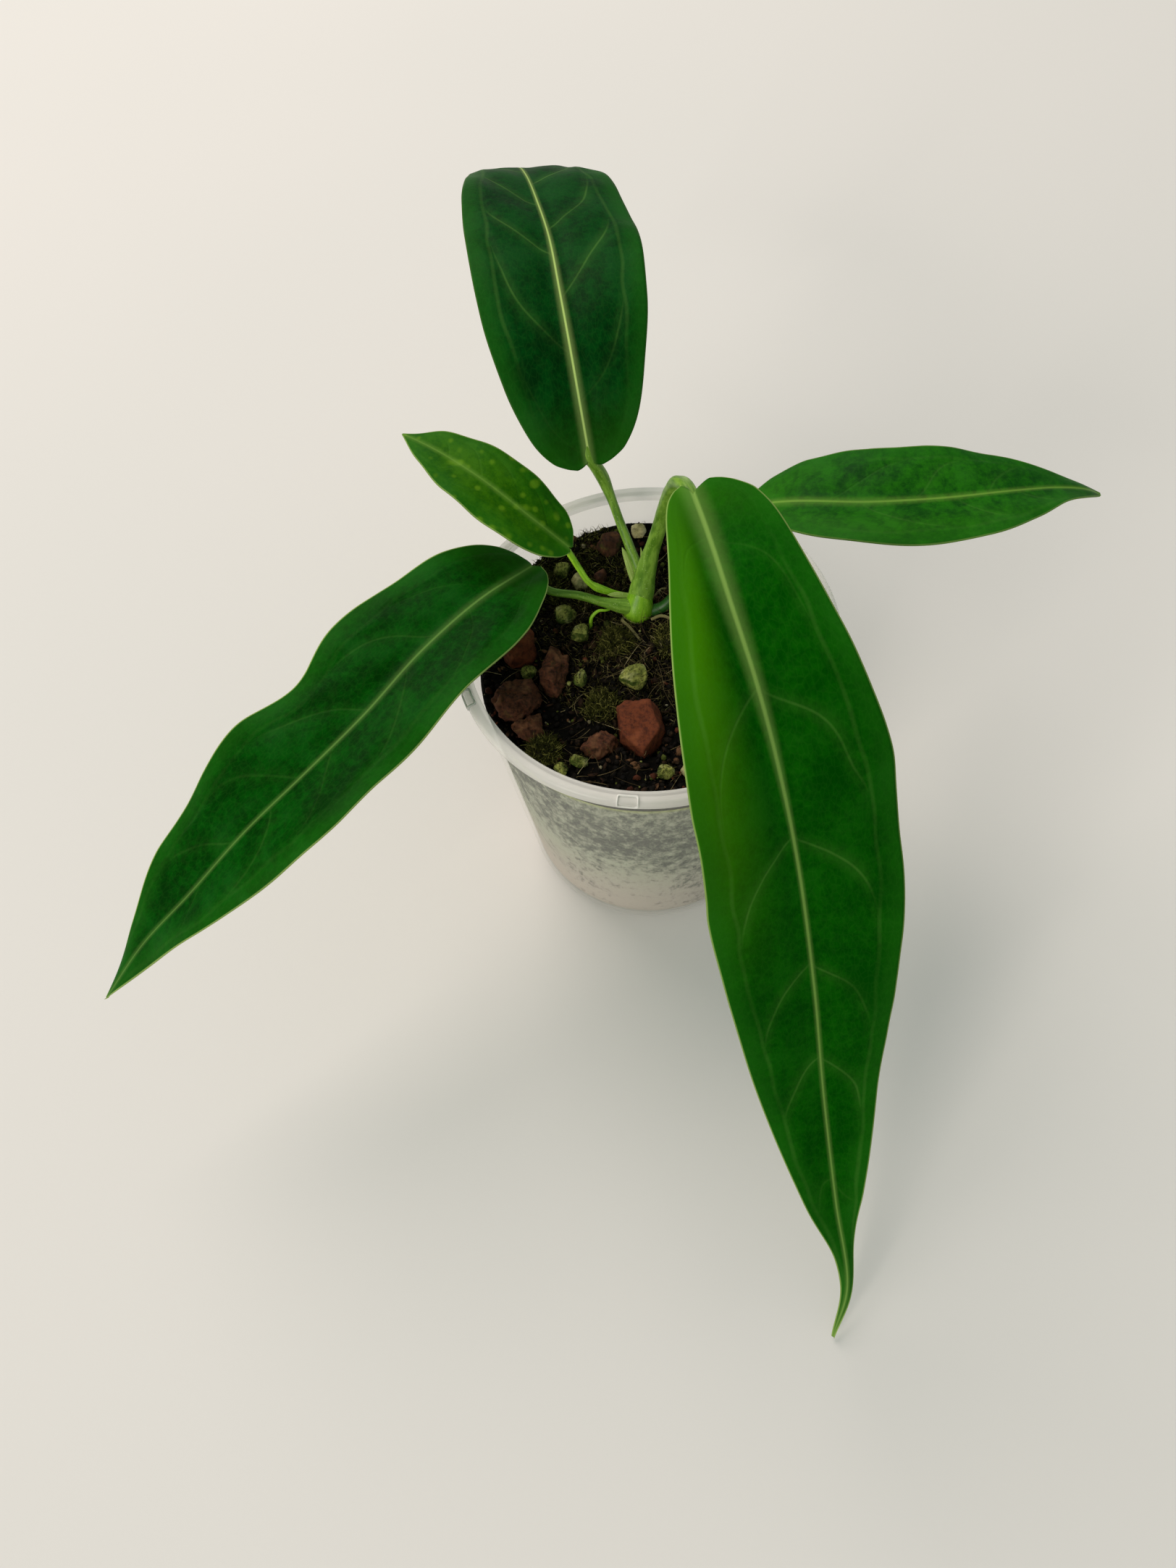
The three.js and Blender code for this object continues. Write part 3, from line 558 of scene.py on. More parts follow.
def leaf_surface(leaf, seed):
    """Points of the upper and lower faces in millimetres, and the numbers the finish needs."""
    s = np.linspace(0, 1, LEAF_ROWS + 1)
    t = 0.4 * s + 0.3 * (1 - np.cos(np.pi * s))
    fine, _, length = through(leaf["midrib"], MIDRIB_STEPS)
    steps = np.arange(MIDRIB_STEPS + 1)
    centre = np.stack([np.interp(t * MIDRIB_STEPS, steps, fine[:, k]) for k in range(3)], 1)
    along = np.gradient(centre, t, axis=0)
    along /= np.linalg.norm(along, axis=1)[:, None]
    side = np.stack([-along[:, 1], along[:, 0], 0 * t], 1)
    side /= np.linalg.norm(side, axis=1)[:, None]
    roll = profile(leaf.get("roll", [(0, 0), (1, 0)]), t)[:, None]
    side = side * np.cos(roll) + np.cross(along, side) * np.sin(roll)
    up = np.cross(along, side)
    u = np.linspace(-1, 1, 2 * HALF_COLUMNS + 1)
    u = np.sign(u) * np.abs(u) ** 1.1
    tt, uu = np.meshgrid(t, u, indexing="ij")
    reach = np.abs(uu)
    half_width = np.where(uu > 0, profile(leaf["left"], t)[:, None], profile(leaf["right"], t)[:, None])
    is_left = np.where(uu > 0, 1.0, 0.0)
    right_shift, left_shift = leaf.get("first_veins", (0, 0.42))
    shift = np.where(uu > 0, left_shift, right_shift)
    ear = leaf["lobe"] * np.maximum(0, 1 - tt / LOBE_END) ** 2 * (2 * reach - reach ** 2)
    far = tt * length - ear
    from_rib = reach * half_width
    wobble = noise_grid(far / 18, uu * 1.2, seed * 3.7)
    bend = np.clip(1 - reach / (COLLECTING_VEIN + 0.03), 0.03, 1)
    ahead = 0.55 * from_rib - 0.32 * half_width * np.log(bend)
    phase = (far - ahead) / leaf["spacing"] + shift + 0.22 * wobble
    slope = np.stack(np.gradient(phase), 0)
    cell_down = np.linalg.norm(np.gradient(centre, axis=0), axis=1)[:, None]
    cell_over = np.gradient(np.abs(u))[None, :] * half_width
    steepness = np.sqrt((slope[0] / cell_down) ** 2 + (slope[1] / np.maximum(np.abs(cell_over), 1e-3)) ** 2)
    vein_gap = 1 / np.maximum(steepness, 1e-4)
    swell = 0.5 - 0.5 * np.cos(2 * np.pi * (phase + 0.5))
    swell *= np.clip(reach * 5, 0, 1) * np.clip((1 - reach) * 5, 0, 1)
    size = np.clip(half_width / 20, 0, 1)
    ripple = noise_grid(far / 9, uu * 2.6, seed * 9.1)
    flatten = profile(leaf.get("flatten", [(0, 0), (1, 0)]), t)[:, None]
    lift = half_width * ((FOLD - flatten) * reach - DROOP * reach ** 2)
    lift += leaf["wave"] * np.sin(2 * np.pi * WAVES * tt + is_left) * reach ** 2
    lift += QUILT * size * swell + 0.35 * size * ripple * reach
    ridge = 0.5 * np.exp(-(from_rib / 1.3) ** 2)
    valley = 0.3 * np.exp(-((from_rib - 3) / 1.6) ** 2)
    lift += (ridge - valley) * (1 - tt)
    thick = (MARGIN + (BLADE - MARGIN) * (1 - reach)) / 2
    rib = RIB * np.exp(-(from_rib / 1.1) ** 2) * (1 - tt) ** 0.8
    flat = centre[:, None] + side[:, None] * (half_width * uu)[..., None] - along[:, None] * ear[..., None]
    top = flat + up[:, None] * (lift + thick)[..., None]
    under = flat + up[:, None] * (lift - thick - rib)[..., None]
    ring = (reach - COLLECTING_VEIN) * half_width + 0.9 * noise_grid(far / 10, uu, seed * 5.3)
    kept = np.clip((COLLECTING_VEIN - reach) * 8, 0, 1) * np.clip(from_rib / 1.5, 0, 1)
    kept *= np.clip((VEINS_END - tt) * 8, 0, 1)
    numbers = dict(leaf_place=np.stack([far, uu * half_width, 0 * uu + seed * 50], -1), along=far, across=uu,
                   from_rib=from_rib, to_margin=(1 - reach) * half_width, vein_phase=phase,
                   vein_gap=np.minimum(vein_gap, 60), vein_kept=kept, ring=ring)
    return top, under, numbers, length


def leaf_faces(rows, columns):
    """Faces of the two skins and the edge between them. Material 0 is the upper face and 1 the lower."""
    faces, which = [], []
    below = rows * columns
    for j in range(rows - 1):
        for i in range(columns - 1):
            a = j * columns + i
            faces.append((a, a + columns, a + columns + 1, a + 1))
            faces.append((below + a, below + a + 1, below + a + columns + 1, below + a + columns))
            which += [0, 1]
    rim = [j * columns for j in range(rows)] + [(rows - 1) * columns + i for i in range(1, columns)]
    rim += [j * columns + columns - 1 for j in range(rows - 2, -1, -1)] + list(range(columns - 2, 0, -1))
    for a, b in zip(rim, rim[1:] + rim[:1]):
        faces.append((a, below + a, below + b, b))
        which.append(0)
    return faces, which


# %% [markdown]
# ## Leaf finish
# A living leaf has a waxy skin over green tissue. The veins hold no green, so they read pale, with a soft
# halo where the blade is thick beside the midrib. Each side vein leaves the midrib at a slant and bends
# round to run with the margin, into one collecting vein. The margin is a thin pale line. The skin is finely
# pebbled, which breaks the gloss into a satin; the pebbles are drawn at 0.7 mm, coarser than real ones, so
# they show.


# %% Leaf skin
def leaf_finish(name, deep, fresh, vein, halo_mm, glow, vein_strength, rib_mm, rib_strength, gloss, margin,
                freckles):
    """deep and fresh are the two greens and vein the midrib colour. halo_mm is the pale band beside the
    midrib at the stalk, and glow is how much yellow-green lies on the right half near the stalk.
    vein_strength is how pale the side veins are, rib_mm and rib_strength how wide and how pale the midrib
    is. gloss is the shine of the wax, margin how pale the edge is, and freckles how much the blade is
    flecked with yellow."""
    made, tree, shader, _ = finish_of(name, Roughness=0.5, IOR=1.45)
    shader.inputs["Specular IOR Level"].default_value = gloss
    grain = add(tree, "Attribute", out="Vector", attribute_name="leaf_place")
    along = add(tree, "Attribute", out="Fac", attribute_name="along")
    across = add(tree, "Attribute", out="Fac", attribute_name="across")
    from_rib = add(tree, "Attribute", out="Fac", attribute_name="from_rib")
    to_margin = add(tree, "Attribute", out="Fac", attribute_name="to_margin")
    mottle = add(tree, "TexNoise", {"Vector": grain, "Scale": 1 / 2.2, "Detail": 5.0, "Roughness": 0.7})
    cloud = add(tree, "TexNoise", {"Vector": grain, "Scale": 1 / 15, "Detail": 3.0})
    tissue = add(tree, "Math", [mottle, cloud], operation="ADD")
    tissue = add(tree, "MapRange", [tissue, 0.75, 1.25, 0.0, 1.0], interpolation_type="SMOOTHSTEP")
    colour = add(tree, "Mix", {0: tissue, 6: linear(deep), 7: linear(fresh)}, 2, data_type="RGBA")
    on_side = add(tree, "MapRange", [across, -0.12, -0.8, 0.0, glow], interpolation_type="SMOOTHSTEP")
    near = add(tree, "MapRange", [along, 130, 10, 0.0, 1.0], interpolation_type="SMOOTHSTEP")
    bright = add(tree, "Math", [on_side, near], operation="MULTIPLY")
    colour = add(tree, "Mix", {0: bright, 6: colour, 7: linear("#437f03")}, 2, data_type="RGBA")
    ears = add(tree, "MapRange", [along, 20, 0, 0.0, 0.3], interpolation_type="SMOOTHSTEP")
    colour = add(tree, "Mix", {0: ears, 6: colour, 7: linear("#2f6a06")}, 2, data_type="RGBA")
    outer = add(tree, "MapRange", [to_margin, 7.0, 1.0, 0.0, 0.45], interpolation_type="SMOOTHSTEP")
    colour = add(tree, "Mix", {0: outer, 6: colour, 7: linear("#1d6010")}, 2, data_type="RGBA")
    warped = add(tree, "VectorMath", [grain, (0.45, 0.9, 1.0)], operation="MULTIPLY")
    net = add(tree, "TexVoronoi", {"Vector": warped, "Scale": 1.0}, feature="DISTANCE_TO_EDGE")
    net = add(tree, "MapRange", [net, 0.12, 0.0, 0.0, 0.05])
    colour = add(tree, "Mix", {0: net, 6: colour, 7: linear("#3f7d2a")}, 2, data_type="RGBA")
    flecks = add(tree, "TexVoronoi", {"Vector": grain, "Scale": 1 / 3.4}, feature="SMOOTH_F1")
    flecks = add(tree, "MapRange", [flecks, 0.34, 0.1, 0.0, freckles], interpolation_type="SMOOTHSTEP")
    colour = add(tree, "Mix", {0: flecks, 6: colour, 7: linear("#6f9a1e")}, 2, data_type="RGBA")
    phase = add(tree, "Attribute", out="Fac", attribute_name="vein_phase")
    gap = add(tree, "Attribute", out="Fac", attribute_name="vein_gap")
    kept = add(tree, "Attribute", out="Fac", attribute_name="vein_kept")
    saw = add(tree, "Math", [add(tree, "Math", [phase], operation="FRACT"), 0.5], operation="SUBTRACT")
    off = add(tree, "Math", [add(tree, "Math", [saw], operation="ABSOLUTE"), gap], operation="MULTIPLY")
    line = add(tree, "MapRange", [off, 0.45, 0.05, 0.0, 0.9], interpolation_type="SMOOTHSTEP")
    wide = add(tree, "MapRange", [off, 3.0, 0.2, 0.0, 0.3], interpolation_type="SMOOTHSTEP")
    line = add(tree, "Math", [add(tree, "Math", [line, wide], operation="ADD"), kept], operation="MULTIPLY")
    begun = add(tree, "MapRange", [along, 12, 40, 0.1, 1.0], interpolation_type="SMOOTHSTEP")
    ring = add(tree, "Math", [add(tree, "Attribute", out="Fac", attribute_name="ring")], operation="ABSOLUTE")
    ring = add(tree, "MapRange", [ring, 0.8, 0.1, 0.0, 0.55], interpolation_type="SMOOTHSTEP")
    thin = add(tree, "Math", [line, ring], operation="MAXIMUM")
    broken = add(tree, "MapRange", [cloud, 0.35, 0.6, 0.35 * vein_strength, vein_strength])
    shown = add(tree, "Math", [thin, broken], operation="MULTIPLY")
    shown = add(tree, "Math", [shown, begun], operation="MULTIPLY")
    colour = add(tree, "Mix", {0: shown, 6: colour, 7: linear("#6ea048")}, 2, data_type="RGBA")
    width = add(tree, "MapRange", [along, 0, 90, halo_mm, 0.6], interpolation_type="SMOOTHSTEP")
    share = add(tree, "Math", [from_rib, width], operation="DIVIDE")
    halo = add(tree, "MapRange", [share, 1.8, 0.0, 0.0, 0.26], interpolation_type="SMOOTHSTEP")
    colour = add(tree, "Mix", {0: halo, 6: colour, 7: linear(vein)}, 2, data_type="RGBA")
    width = add(tree, "MapRange", [along, 0, 150, rib_mm, rib_mm * 0.4])
    share = add(tree, "Math", [from_rib, width], operation="DIVIDE")
    core = add(tree, "MapRange", [share, 1.1, 0.2, 0.0, rib_strength], interpolation_type="SMOOTHSTEP")
    faded = add(tree, "MapRange", [along, 15, 110, 1.0, 0.62])
    core = add(tree, "Math", [core, faded], operation="MULTIPLY")
    colour = add(tree, "Mix", {0: core, 6: colour, 7: linear(vein)}, 2, data_type="RGBA")
    rim = add(tree, "MapRange", [to_margin, 0.4, 0.1, 0.0, margin], interpolation_type="SMOOTHSTEP")
    colour = add(tree, "Mix", {0: rim, 6: colour, 7: linear("#a4bd6a")}, 2, data_type="RGBA")
    # Grey-blue patches that grow with the gloss: partly dust on the wax, partly painted sheen.
    dust_and_sheen = add(tree, "MapRange", [cloud, 0.5, 0.75, 0.0, gloss / 2], interpolation_type="SMOOTHSTEP")
    add(tree, "Mix", {0: dust_and_sheen, 6: colour, 7: linear("#7f9a84")}, 2, shader.inputs["Base Color"],
        data_type="RGBA")
    pebbles = add(tree, "TexVoronoi", {"Vector": grain, "Scale": 1 / 0.7}, feature="SMOOTH_F1")
    relief = add(tree, "Math", [pebbles, 0.4], operation="MULTIPLY")
    relief = add(tree, "Math", [relief, mottle], operation="ADD")
    relief = add(tree, "Math", [relief, thin], operation="SUBTRACT")
    add(tree, "Bump", {"Height": relief, "Distance": 0.09 * MM, "Strength": 0.6}, to=shader.inputs["Normal"])
    add(tree, "MapRange", [cloud, 0.3, 0.75, 0.4, 0.58], to=shader.inputs["Roughness"])
    return made


def underside_finish(name, shade, light):
    """The lower face is paler and duller, with every vein standing out."""
    made, tree, shader, _ = finish_of(name, Roughness=0.6, IOR=1.45)
    shader.inputs["Specular IOR Level"].default_value = 0.25
    grain = add(tree, "Attribute", out="Vector", attribute_name="leaf_place")
    from_rib = add(tree, "Attribute", out="Fac", attribute_name="from_rib")
    phase = add(tree, "Attribute", out="Fac", attribute_name="vein_phase")
    gap = add(tree, "Attribute", out="Fac", attribute_name="vein_gap")
    kept = add(tree, "Attribute", out="Fac", attribute_name="vein_kept")
    cloud = add(tree, "TexNoise", {"Vector": grain, "Scale": 1 / 14, "Detail": 4.0})
    colour = add(tree, "Mix", {0: cloud, 6: linear(shade), 7: linear(light)}, 2, data_type="RGBA")
    saw = add(tree, "Math", [add(tree, "Math", [phase], operation="FRACT"), 0.5], operation="SUBTRACT")
    off = add(tree, "Math", [add(tree, "Math", [saw], operation="ABSOLUTE"), gap], operation="MULTIPLY")
    line = add(tree, "MapRange", [off, 0.8, 0.1, 0.0, 0.5], interpolation_type="SMOOTHSTEP")
    line = add(tree, "Math", [line, kept], operation="MULTIPLY")
    rib = add(tree, "MapRange", [from_rib, 1.6, 0.6, 0.0, 0.9], interpolation_type="SMOOTHSTEP")
    pale = add(tree, "Math", [line, rib], operation="MAXIMUM")
    add(tree, "Mix", {0: pale, 6: colour, 7: linear("#9cb35c")}, 2, shader.inputs["Base Color"],
        data_type="RGBA")
    fine = add(tree, "TexNoise", {"Vector": grain, "Scale": 1 / 0.8, "Detail": 3.0})
    relief = add(tree, "Math", [fine, pale], operation="ADD")
    add(tree, "Bump", {"Height": relief, "Distance": 0.12 * MM, "Strength": 0.6}, to=shader.inputs["Normal"])
    return made


# %% Make the leaves
leaf_finishes = {
    "back": leaf_finish("leaf_skin_dark_back", "#002807", "#01400d", "#b4cf76",
                        1.3, 0, 0.2, 0.42, 1.0, 0.03, 0.1, 0),
    "left": leaf_finish("leaf_skin_dark_left", "#002d00", "#024903", "#6d9648",
                        1.3, 0, 0.06, 0.45, 0.62, 0.03, 0.7, 0),
    "front": leaf_finish("leaf_skin_mid_front", "#013e01", "#0a5102", "#8db158",
                         2.3, 0.95, 0.16, 0.75, 0.6, 0.01, 0.6, 0),
    "right": leaf_finish("leaf_skin_mid_right", "#083e09", "#20680a", "#82ac46",
                         1.3, 0.1, 0.09, 0.5, 0.5, 0.035, 0.3, 0),
    "small": leaf_finish("leaf_skin_pale_small", "#194c01", "#346604", "#7aa245",
                         0.8, 0, 0.05, 0.35, 0.24, 0.03, 0.5, 0.4),
}
underside = underside_finish("leaf_underside_matt", "#446a2c", "#5d8440")
leaf_slots = {"back": "leaf_dark", "left": "leaf_dark", "front": "leaf_mid", "right": "leaf_mid",
              "small": "leaf_pale"}
for index, (name, leaf) in enumerate(leaves.items()):
    raised = dict(leaf, midrib=[(x, y, z + MIX_LEVEL) for x, y, z in leaf["midrib"]])
    top, under, numbers, length = leaf_surface(raised, index + 1)
    faces, which = leaf_faces(*top.shape[:2])
    points = np.vstack([top.reshape(-1, 3), under.reshape(-1, 3)]) * MM
    values = {key: np.concatenate([value.reshape(top.shape[0] * top.shape[1], -1).squeeze()] * 2)
              for key, value in numbers.items()}
    made = piece("blade_" + name, points, faces, [leaf_finishes[name], underside], ["leaf_" + name],
                 leaf_slots[name], which, **values)
    low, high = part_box("leaf_" + name)
    off = np.abs(np.vstack([points.min(0) - np.array(low), points.max(0) - np.array(high)])).max() / MM
    print(made.name, "is", round(length), "mm along its midrib, within", round(off, 1), "mm of its CAD box")

# %% [markdown]
# ## Stalks, crown and small shoots
# Each stalk is a fleshy tube that swells where it leaves the crown, and again at the knee under its blade. A
# curve with a bevel would make a plain tube; rings along a route let the radius, a shallow groove and a
# slight unevenness change on the way, and let the end run on under the blade as its rib.


# %% Living stalk skin
def stalk_finish(name, deep, fresh, fleck, roughness=0.4):
    """Long streaks from deep to fresh, with small pale flecks."""
    made, tree, shader, place = finish_of(name, Roughness=roughness, IOR=1.45)
    shader.inputs["Specular IOR Level"].default_value = 0.35
    grain = add(tree, "Attribute", out="Vector", attribute_name="stem_place")
    stretched = add(tree, "VectorMath", [grain, (1.6, 1.6, 0.2)], operation="MULTIPLY")
    streaks = add(tree, "TexNoise", {"Vector": stretched, "Scale": 1.0, "Detail": 4.0, "Roughness": 0.6})
    spread = add(tree, "MapRange", [streaks, 0.32, 0.7, 0.0, 1.0], interpolation_type="SMOOTHSTEP")
    colour = add(tree, "Mix", {0: spread, 6: linear(deep), 7: linear(fresh)}, 2, data_type="RGBA")
    dots = add(tree, "TexVoronoi", {"Vector": place, "Scale": 1 / (0.8 * MM)})
    dot = add(tree, "MapRange", [dots, 0.24, 0.1, 0.0, 0.45], interpolation_type="SMOOTHSTEP")
    add(tree, "Mix", {0: dot, 6: colour, 7: linear(fleck)}, 2, shader.inputs["Base Color"],
        data_type="RGBA")
    add(tree, "Bump", {"Height": streaks, "Distance": 0.14 * MM, "Strength": 0.5}, to=shader.inputs["Normal"])
    return made


green_stalk = stalk_finish("living_stalk_green", "#4f7a1a", "#80a83c", "#b5cd80")
lime_stalk = stalk_finish("living_stalk_lime", "#74ad14", "#a0d236", "#c9e97c")
# The right stalk lies in the shade of the front blade; its darker greens are painted shade.
shade_painted_stalk = stalk_finish("living_stalk_painted_shade", "#173f12", "#2c5c20", "#4f7a3a")
crown_flesh = stalk_finish("living_crown_flesh", "#5f9410", "#86b828", "#a8ca58")
dry_scale = stalk_finish("papery_scale", "#7d9c3e", "#a6bd66", "#cdd69a", 0.6)
root_skin = stalk_finish("corky_root", "#5f5a34", "#8a8355", "#aaa378", 0.75)


# %% Stems as rings along a route
def stem(name, route, radii, finish, node, slot, groove=0.0, sides=28, steps=90, flat=1.0, seed=1):
    """A stem along a route of heights above the mix, in millimetres."""
    centre, along, length = through([(x, y, z + MIX_LEVEL) for x, y, z in route], steps)
    t = np.linspace(0, 1, steps + 1)
    radius = profile(radii, t)
    normal = np.cross(along[0], (1.0, 0.0, 0.0))
    angles = 2 * np.pi * np.arange(sides) / sides
    rings, places = [], []
    for j in range(steps + 1):
        normal = normal - along[j] * np.dot(normal, along[j])
        normal /= np.linalg.norm(normal)
        other = np.cross(along[j], normal)
        uneven = [1 + 0.04 * noise.noise(Vector((math.cos(a), math.sin(a), t[j] * length / 5 + seed * 7)))
                  - groove * max(0, math.cos(a)) ** 8 for a in angles]
        reach = radius[j] * np.array(uneven)[:, None]
        out = np.cos(angles)[:, None] * normal * flat + np.sin(angles)[:, None] * other
        rings.append(centre[j] + reach * out)
        places.append(np.stack([np.cos(angles), np.sin(angles), np.full(sides, t[j] * length)], 1))
    points, faces = skin(rings)
    places = np.vstack(places + [[(0, 0, 0), (0, 0, length)]])
    return piece(name, points * MM, faces, [finish], [node], slot, stem_place=places)


# %% Make the stalks
blade_start = drop(1)
stem("stalk_front_flesh",
     [(-0.6, 16.6, 0.5), (0.5, 18.2, 4.9), (1.9, 20, 11), (3.8, 21, 19), (5.6, 20.3, 28), (6.8, 17.4, 39),
      (7.7, 12.7, 50), (8.3, 5.8, 60), (9.1, -0.8, 65.4), (9.9, -6.6, blade_start - 1.2),
      (10.6, -15, blade_start - 0.2), (11.6, -26, blade_start + 0.2)],
     [(0, 2.9), (0.05, 3.4), (0.12, 2.8), (0.24, 1.95), (0.6, 1.8), (0.78, 1.7), (0.88, 1.1), (1, 0.4)],
     green_stalk, "stalk_front", "stalk", groove=0.16, seed=1)
stem("stalk_back_flesh",
     [(0.4, 18.6, 0.5), (1, 20.8, 3), (0.8, 24.5, 6.6), (-1.2, 30, 11.5), (-3.4, 35, 17.3), (-5.2, 38.4, 23),
      (-6.8, 40.2, 28), (-8.6, 40.4, 32.4), (-9.9, 40.4, 35), (-10.6, 43, 41)],
     [(0, 2), (0.15, 1.4), (0.55, 1.2), (0.74, 1.75), (0.85, 1.5), (1, 0.8)],
     green_stalk, "stalk_back", "stalk", groove=0.12, seed=2)
stem("stalk_left_flesh",
     [(-1, 15.6, 1.5), (-3, 16, 3), (-5.5, 16, 4), (-10.5, 16.5, 6), (-16, 17.7, 8), (-23.7, 18.3, 10.6),
      (-26.8, 20, 12.6), (-29, 22.4, 14.4), (-33, 18.4, 16.6)],
     [(0, 2.8), (0.12, 2.1), (0.3, 1.25), (0.6, 1.05), (0.85, 1.15), (1, 0.6)],
     green_stalk, "stalk_left", "stalk", groove=0.12, seed=3)
stem("stalk_small_flesh",
     [(-1, 18, 1), (-2.5, 19.4, 2.2), (-7, 19.4, 5.4), (-12.9, 19, 11), (-15.4, 20.8, 15.3), (-17, 22, 18.8),
      (-18.4, 23.2, 21.3), (-21, 24.8, 23.4)],
     [(0, 1.3), (0.25, 0.9), (0.42, 1.1), (0.5, 0.85), (0.85, 0.85), (1, 0.45)], lime_stalk, "stalk_small",
     "stalk_pale", groove=0.1, sides=20, seed=4)
stem("stalk_right_flesh",
     [(1, 15.8, -0.5), (2.4, 15.6, 0.4), (6.1, 15.6, 2), (9.4, 16.3, 5.4), (17, 18.3, 14.5),
      (24.4, 19.6, 24.5), (28.4, 19.4, 32), (31.6, 17.4, 35.2)],
     [(0, 1.9), (0.2, 1.4), (0.6, 1.2), (0.88, 1.3), (1, 0.6)], shade_painted_stalk, "stalk_right", "stalk_dark",
     groove=0.1, seed=5)
stem("crown_heart", [(-1.4, 15.4, -5), (-1.3, 15.4, -2), (-0.7, 16.2, 1.2), (0.1, 17.5, 4.5), (0.8, 18.6, 8)],
     [(0, 1.2), (0.22, 3.4), (0.45, 4.2), (0.7, 3.6), (1, 2.2)], crown_flesh, "crown", "crown", seed=6)

# %% Scales, bud, shoot and surface roots
stem("scale_on_back_stalk", [(-0.6, 23, 4.6), (-1.2, 24.4, 6), (-2, 27, 9), (-3.2, 29.4, 11.8)],
     [(0, 1.0), (0.5, 1.0), (0.8, 0.7), (1, 0.1)],
     dry_scale, "sheath_back", "sheath", sides=16, steps=40, flat=0.5)
stem("scale_on_left_stalk", [(-2.6, 18, 4.6), (-3.6, 18.2, 5), (-6, 18, 6.3), (-8.6, 17.6, 7.2)],
     [(0, 1.1), (0.5, 0.9), (0.8, 0.6), (1, 0.1)],
     dry_scale, "sheath_left", "sheath", sides=16, steps=40, flat=0.5)
stem("bud_point", [(1.9, 22.6, 6), (2.1, 23.4, 7.4), (1.9, 25.2, 10.4), (1.6, 26.8, 14)],
     [(0, 0.7), (0.3, 0.75), (0.7, 0.45), (1, 0.06)],
     dry_scale, "bud", "sheath", sides=14, steps=30, flat=0.6)
stem("shoot_curl",
     [(-8.4, 15.2, 3.8), (-9.6, 14.6, 4.4), (-11.4, 14.4, 4.8), (-13.4, 13.6, 3.4), (-14, 12.6, -1.2)],
     [(0, 0.3), (0.5, 0.48), (1, 0.55)], lime_stalk, "shoot", "stalk_pale", sides=12, steps=40)
stem("root_long_cork", [(-4.8, 14.2, 0.6), (-5.2, 12.6, 1.6), (-3.6, 10.4, 1.5), (-1, 6.4, 0.2)],
     [(0, 0.5), (1, 0.35)], root_skin, "root_long", "root", sides=12, steps=40)
stem("root_right_cork", [(2.6, 12.6, 0.8), (5.4, 12.8, 1.7), (8, 11.4, 1.3), (10, 8, -0.2)],
     [(0, 0.5), (1, 0.35)], root_skin, "root_right", "root", sides=12, steps=40)
stem("root_back_cork", [(3.6, 19, 0.8), (6.6, 21.6, 1.8), (9.8, 22, 0.5)],
     [(0, 0.5), (1, 0.35)], root_skin, "root_back", "root", sides=12, steps=30)

# %% [markdown]
# ## The potting mix
# The mix is peat, grit and bark crumbs, kept wet, so it is almost black on top. Seen through the cloudy wall
# it is quite different: grains that press on the plastic show as dark smears, a little taller than wide, and
# the gaps between them show as pale grey-green. One body carries both, with its top laid on the CAD surface.

# %% Peat and the mottled side
peat, tree, shader, place = finish_of("wet_peat", Roughness=0.8)
shader.inputs["Specular IOR Level"].default_value = 0.08
lumps = add(tree, "TexNoise", {"Vector": place, "Scale": 1 / (2.2 * MM), "Detail": 6.0, "Roughness": 0.7})
spread = add(tree, "MapRange", [lumps, 0.35, 0.75, 0.0, 1.0], interpolation_type="SMOOTHSTEP")
add(tree, "Mix", {0: spread, 6: linear("#010100"), 7: linear("#100c06")}, 2, shader.inputs["Base Color"],
    data_type="RGBA")
add(tree, "Bump", {"Height": lumps, "Distance": 0.8 * MM, "Strength": 0.9}, to=shader.inputs["Normal"])

mottled, tree, shader, place = finish_of("mix_against_plastic", Roughness=0.6)
upright = add(tree, "VectorMath", [place, (1.0, 1.0, 0.75)], operation="MULTIPLY")
grains = add(tree, "TexNoise", {"Vector": upright, "Scale": 1 / (2.9 * MM), "Detail": 8.0, "Roughness": 0.78})
height = add(tree, "Attribute", out="Fac", attribute_name="height")
more = add(tree, "MapRange", [height, 8, 80, -0.12, 0.055], interpolation_type="SMOOTHSTEP")
patch = add(tree, "TexNoise", {"Vector": place, "Scale": 1 / (30 * MM), "Detail": 1.0})
patch = add(tree, "MapRange", [patch, 0.3, 0.7, -0.07, 0.07])
dark = add(tree, "Math", [add(tree, "Math", [grains, more], operation="ADD"), patch], operation="ADD")
dark = add(tree, "MapRange", [dark, 0.39, 0.63, 0.0, 1.0], interpolation_type="SMOOTHSTEP")
low_down = add(tree, "MapRange", [height, 8, 52, 1.0, 0.0], interpolation_type="SMOOTHSTEP")
ground = add(tree, "Mix", {0: low_down, 6: linear("#a4a993"), 7: linear("#bbb0a5")}, 2, data_type="RGBA")
top_band = add(tree, "MapRange", [height, 83, 86, 0.0, 0.9], interpolation_type="SMOOTHSTEP")
colour = add(tree, "Mix", {0: dark, 6: ground, 7: linear("#14210a")}, 2, data_type="RGBA")
add(tree, "Mix", {0: top_band, 6: colour, 7: linear("#a2ac58")}, 2, shader.inputs["Base Color"],
    data_type="RGBA")
add(tree, "Bump", {"Height": grains, "Distance": 0.4 * MM, "Strength": 0.5}, to=shader.inputs["Normal"])

# %% Lay the top of the mix on the CAD surface
FIT = 0.3
MIX_SIDES = 180
TOP_RINGS = 74
SIDE_ROWS = 40
MIX_FOOT = FLOOR_THICKNESS + FIT
MIX_EDGE = MIX_LEVEL - 1.2
JUST_INSIDE = 0.995
angles = 2 * np.pi * np.arange(MIX_SIDES) / MIX_SIDES


def inner_radius(z):
    """Radius of the mix at a height, just clear of the wall."""
    return wall_radius(z) - WALL - FIT


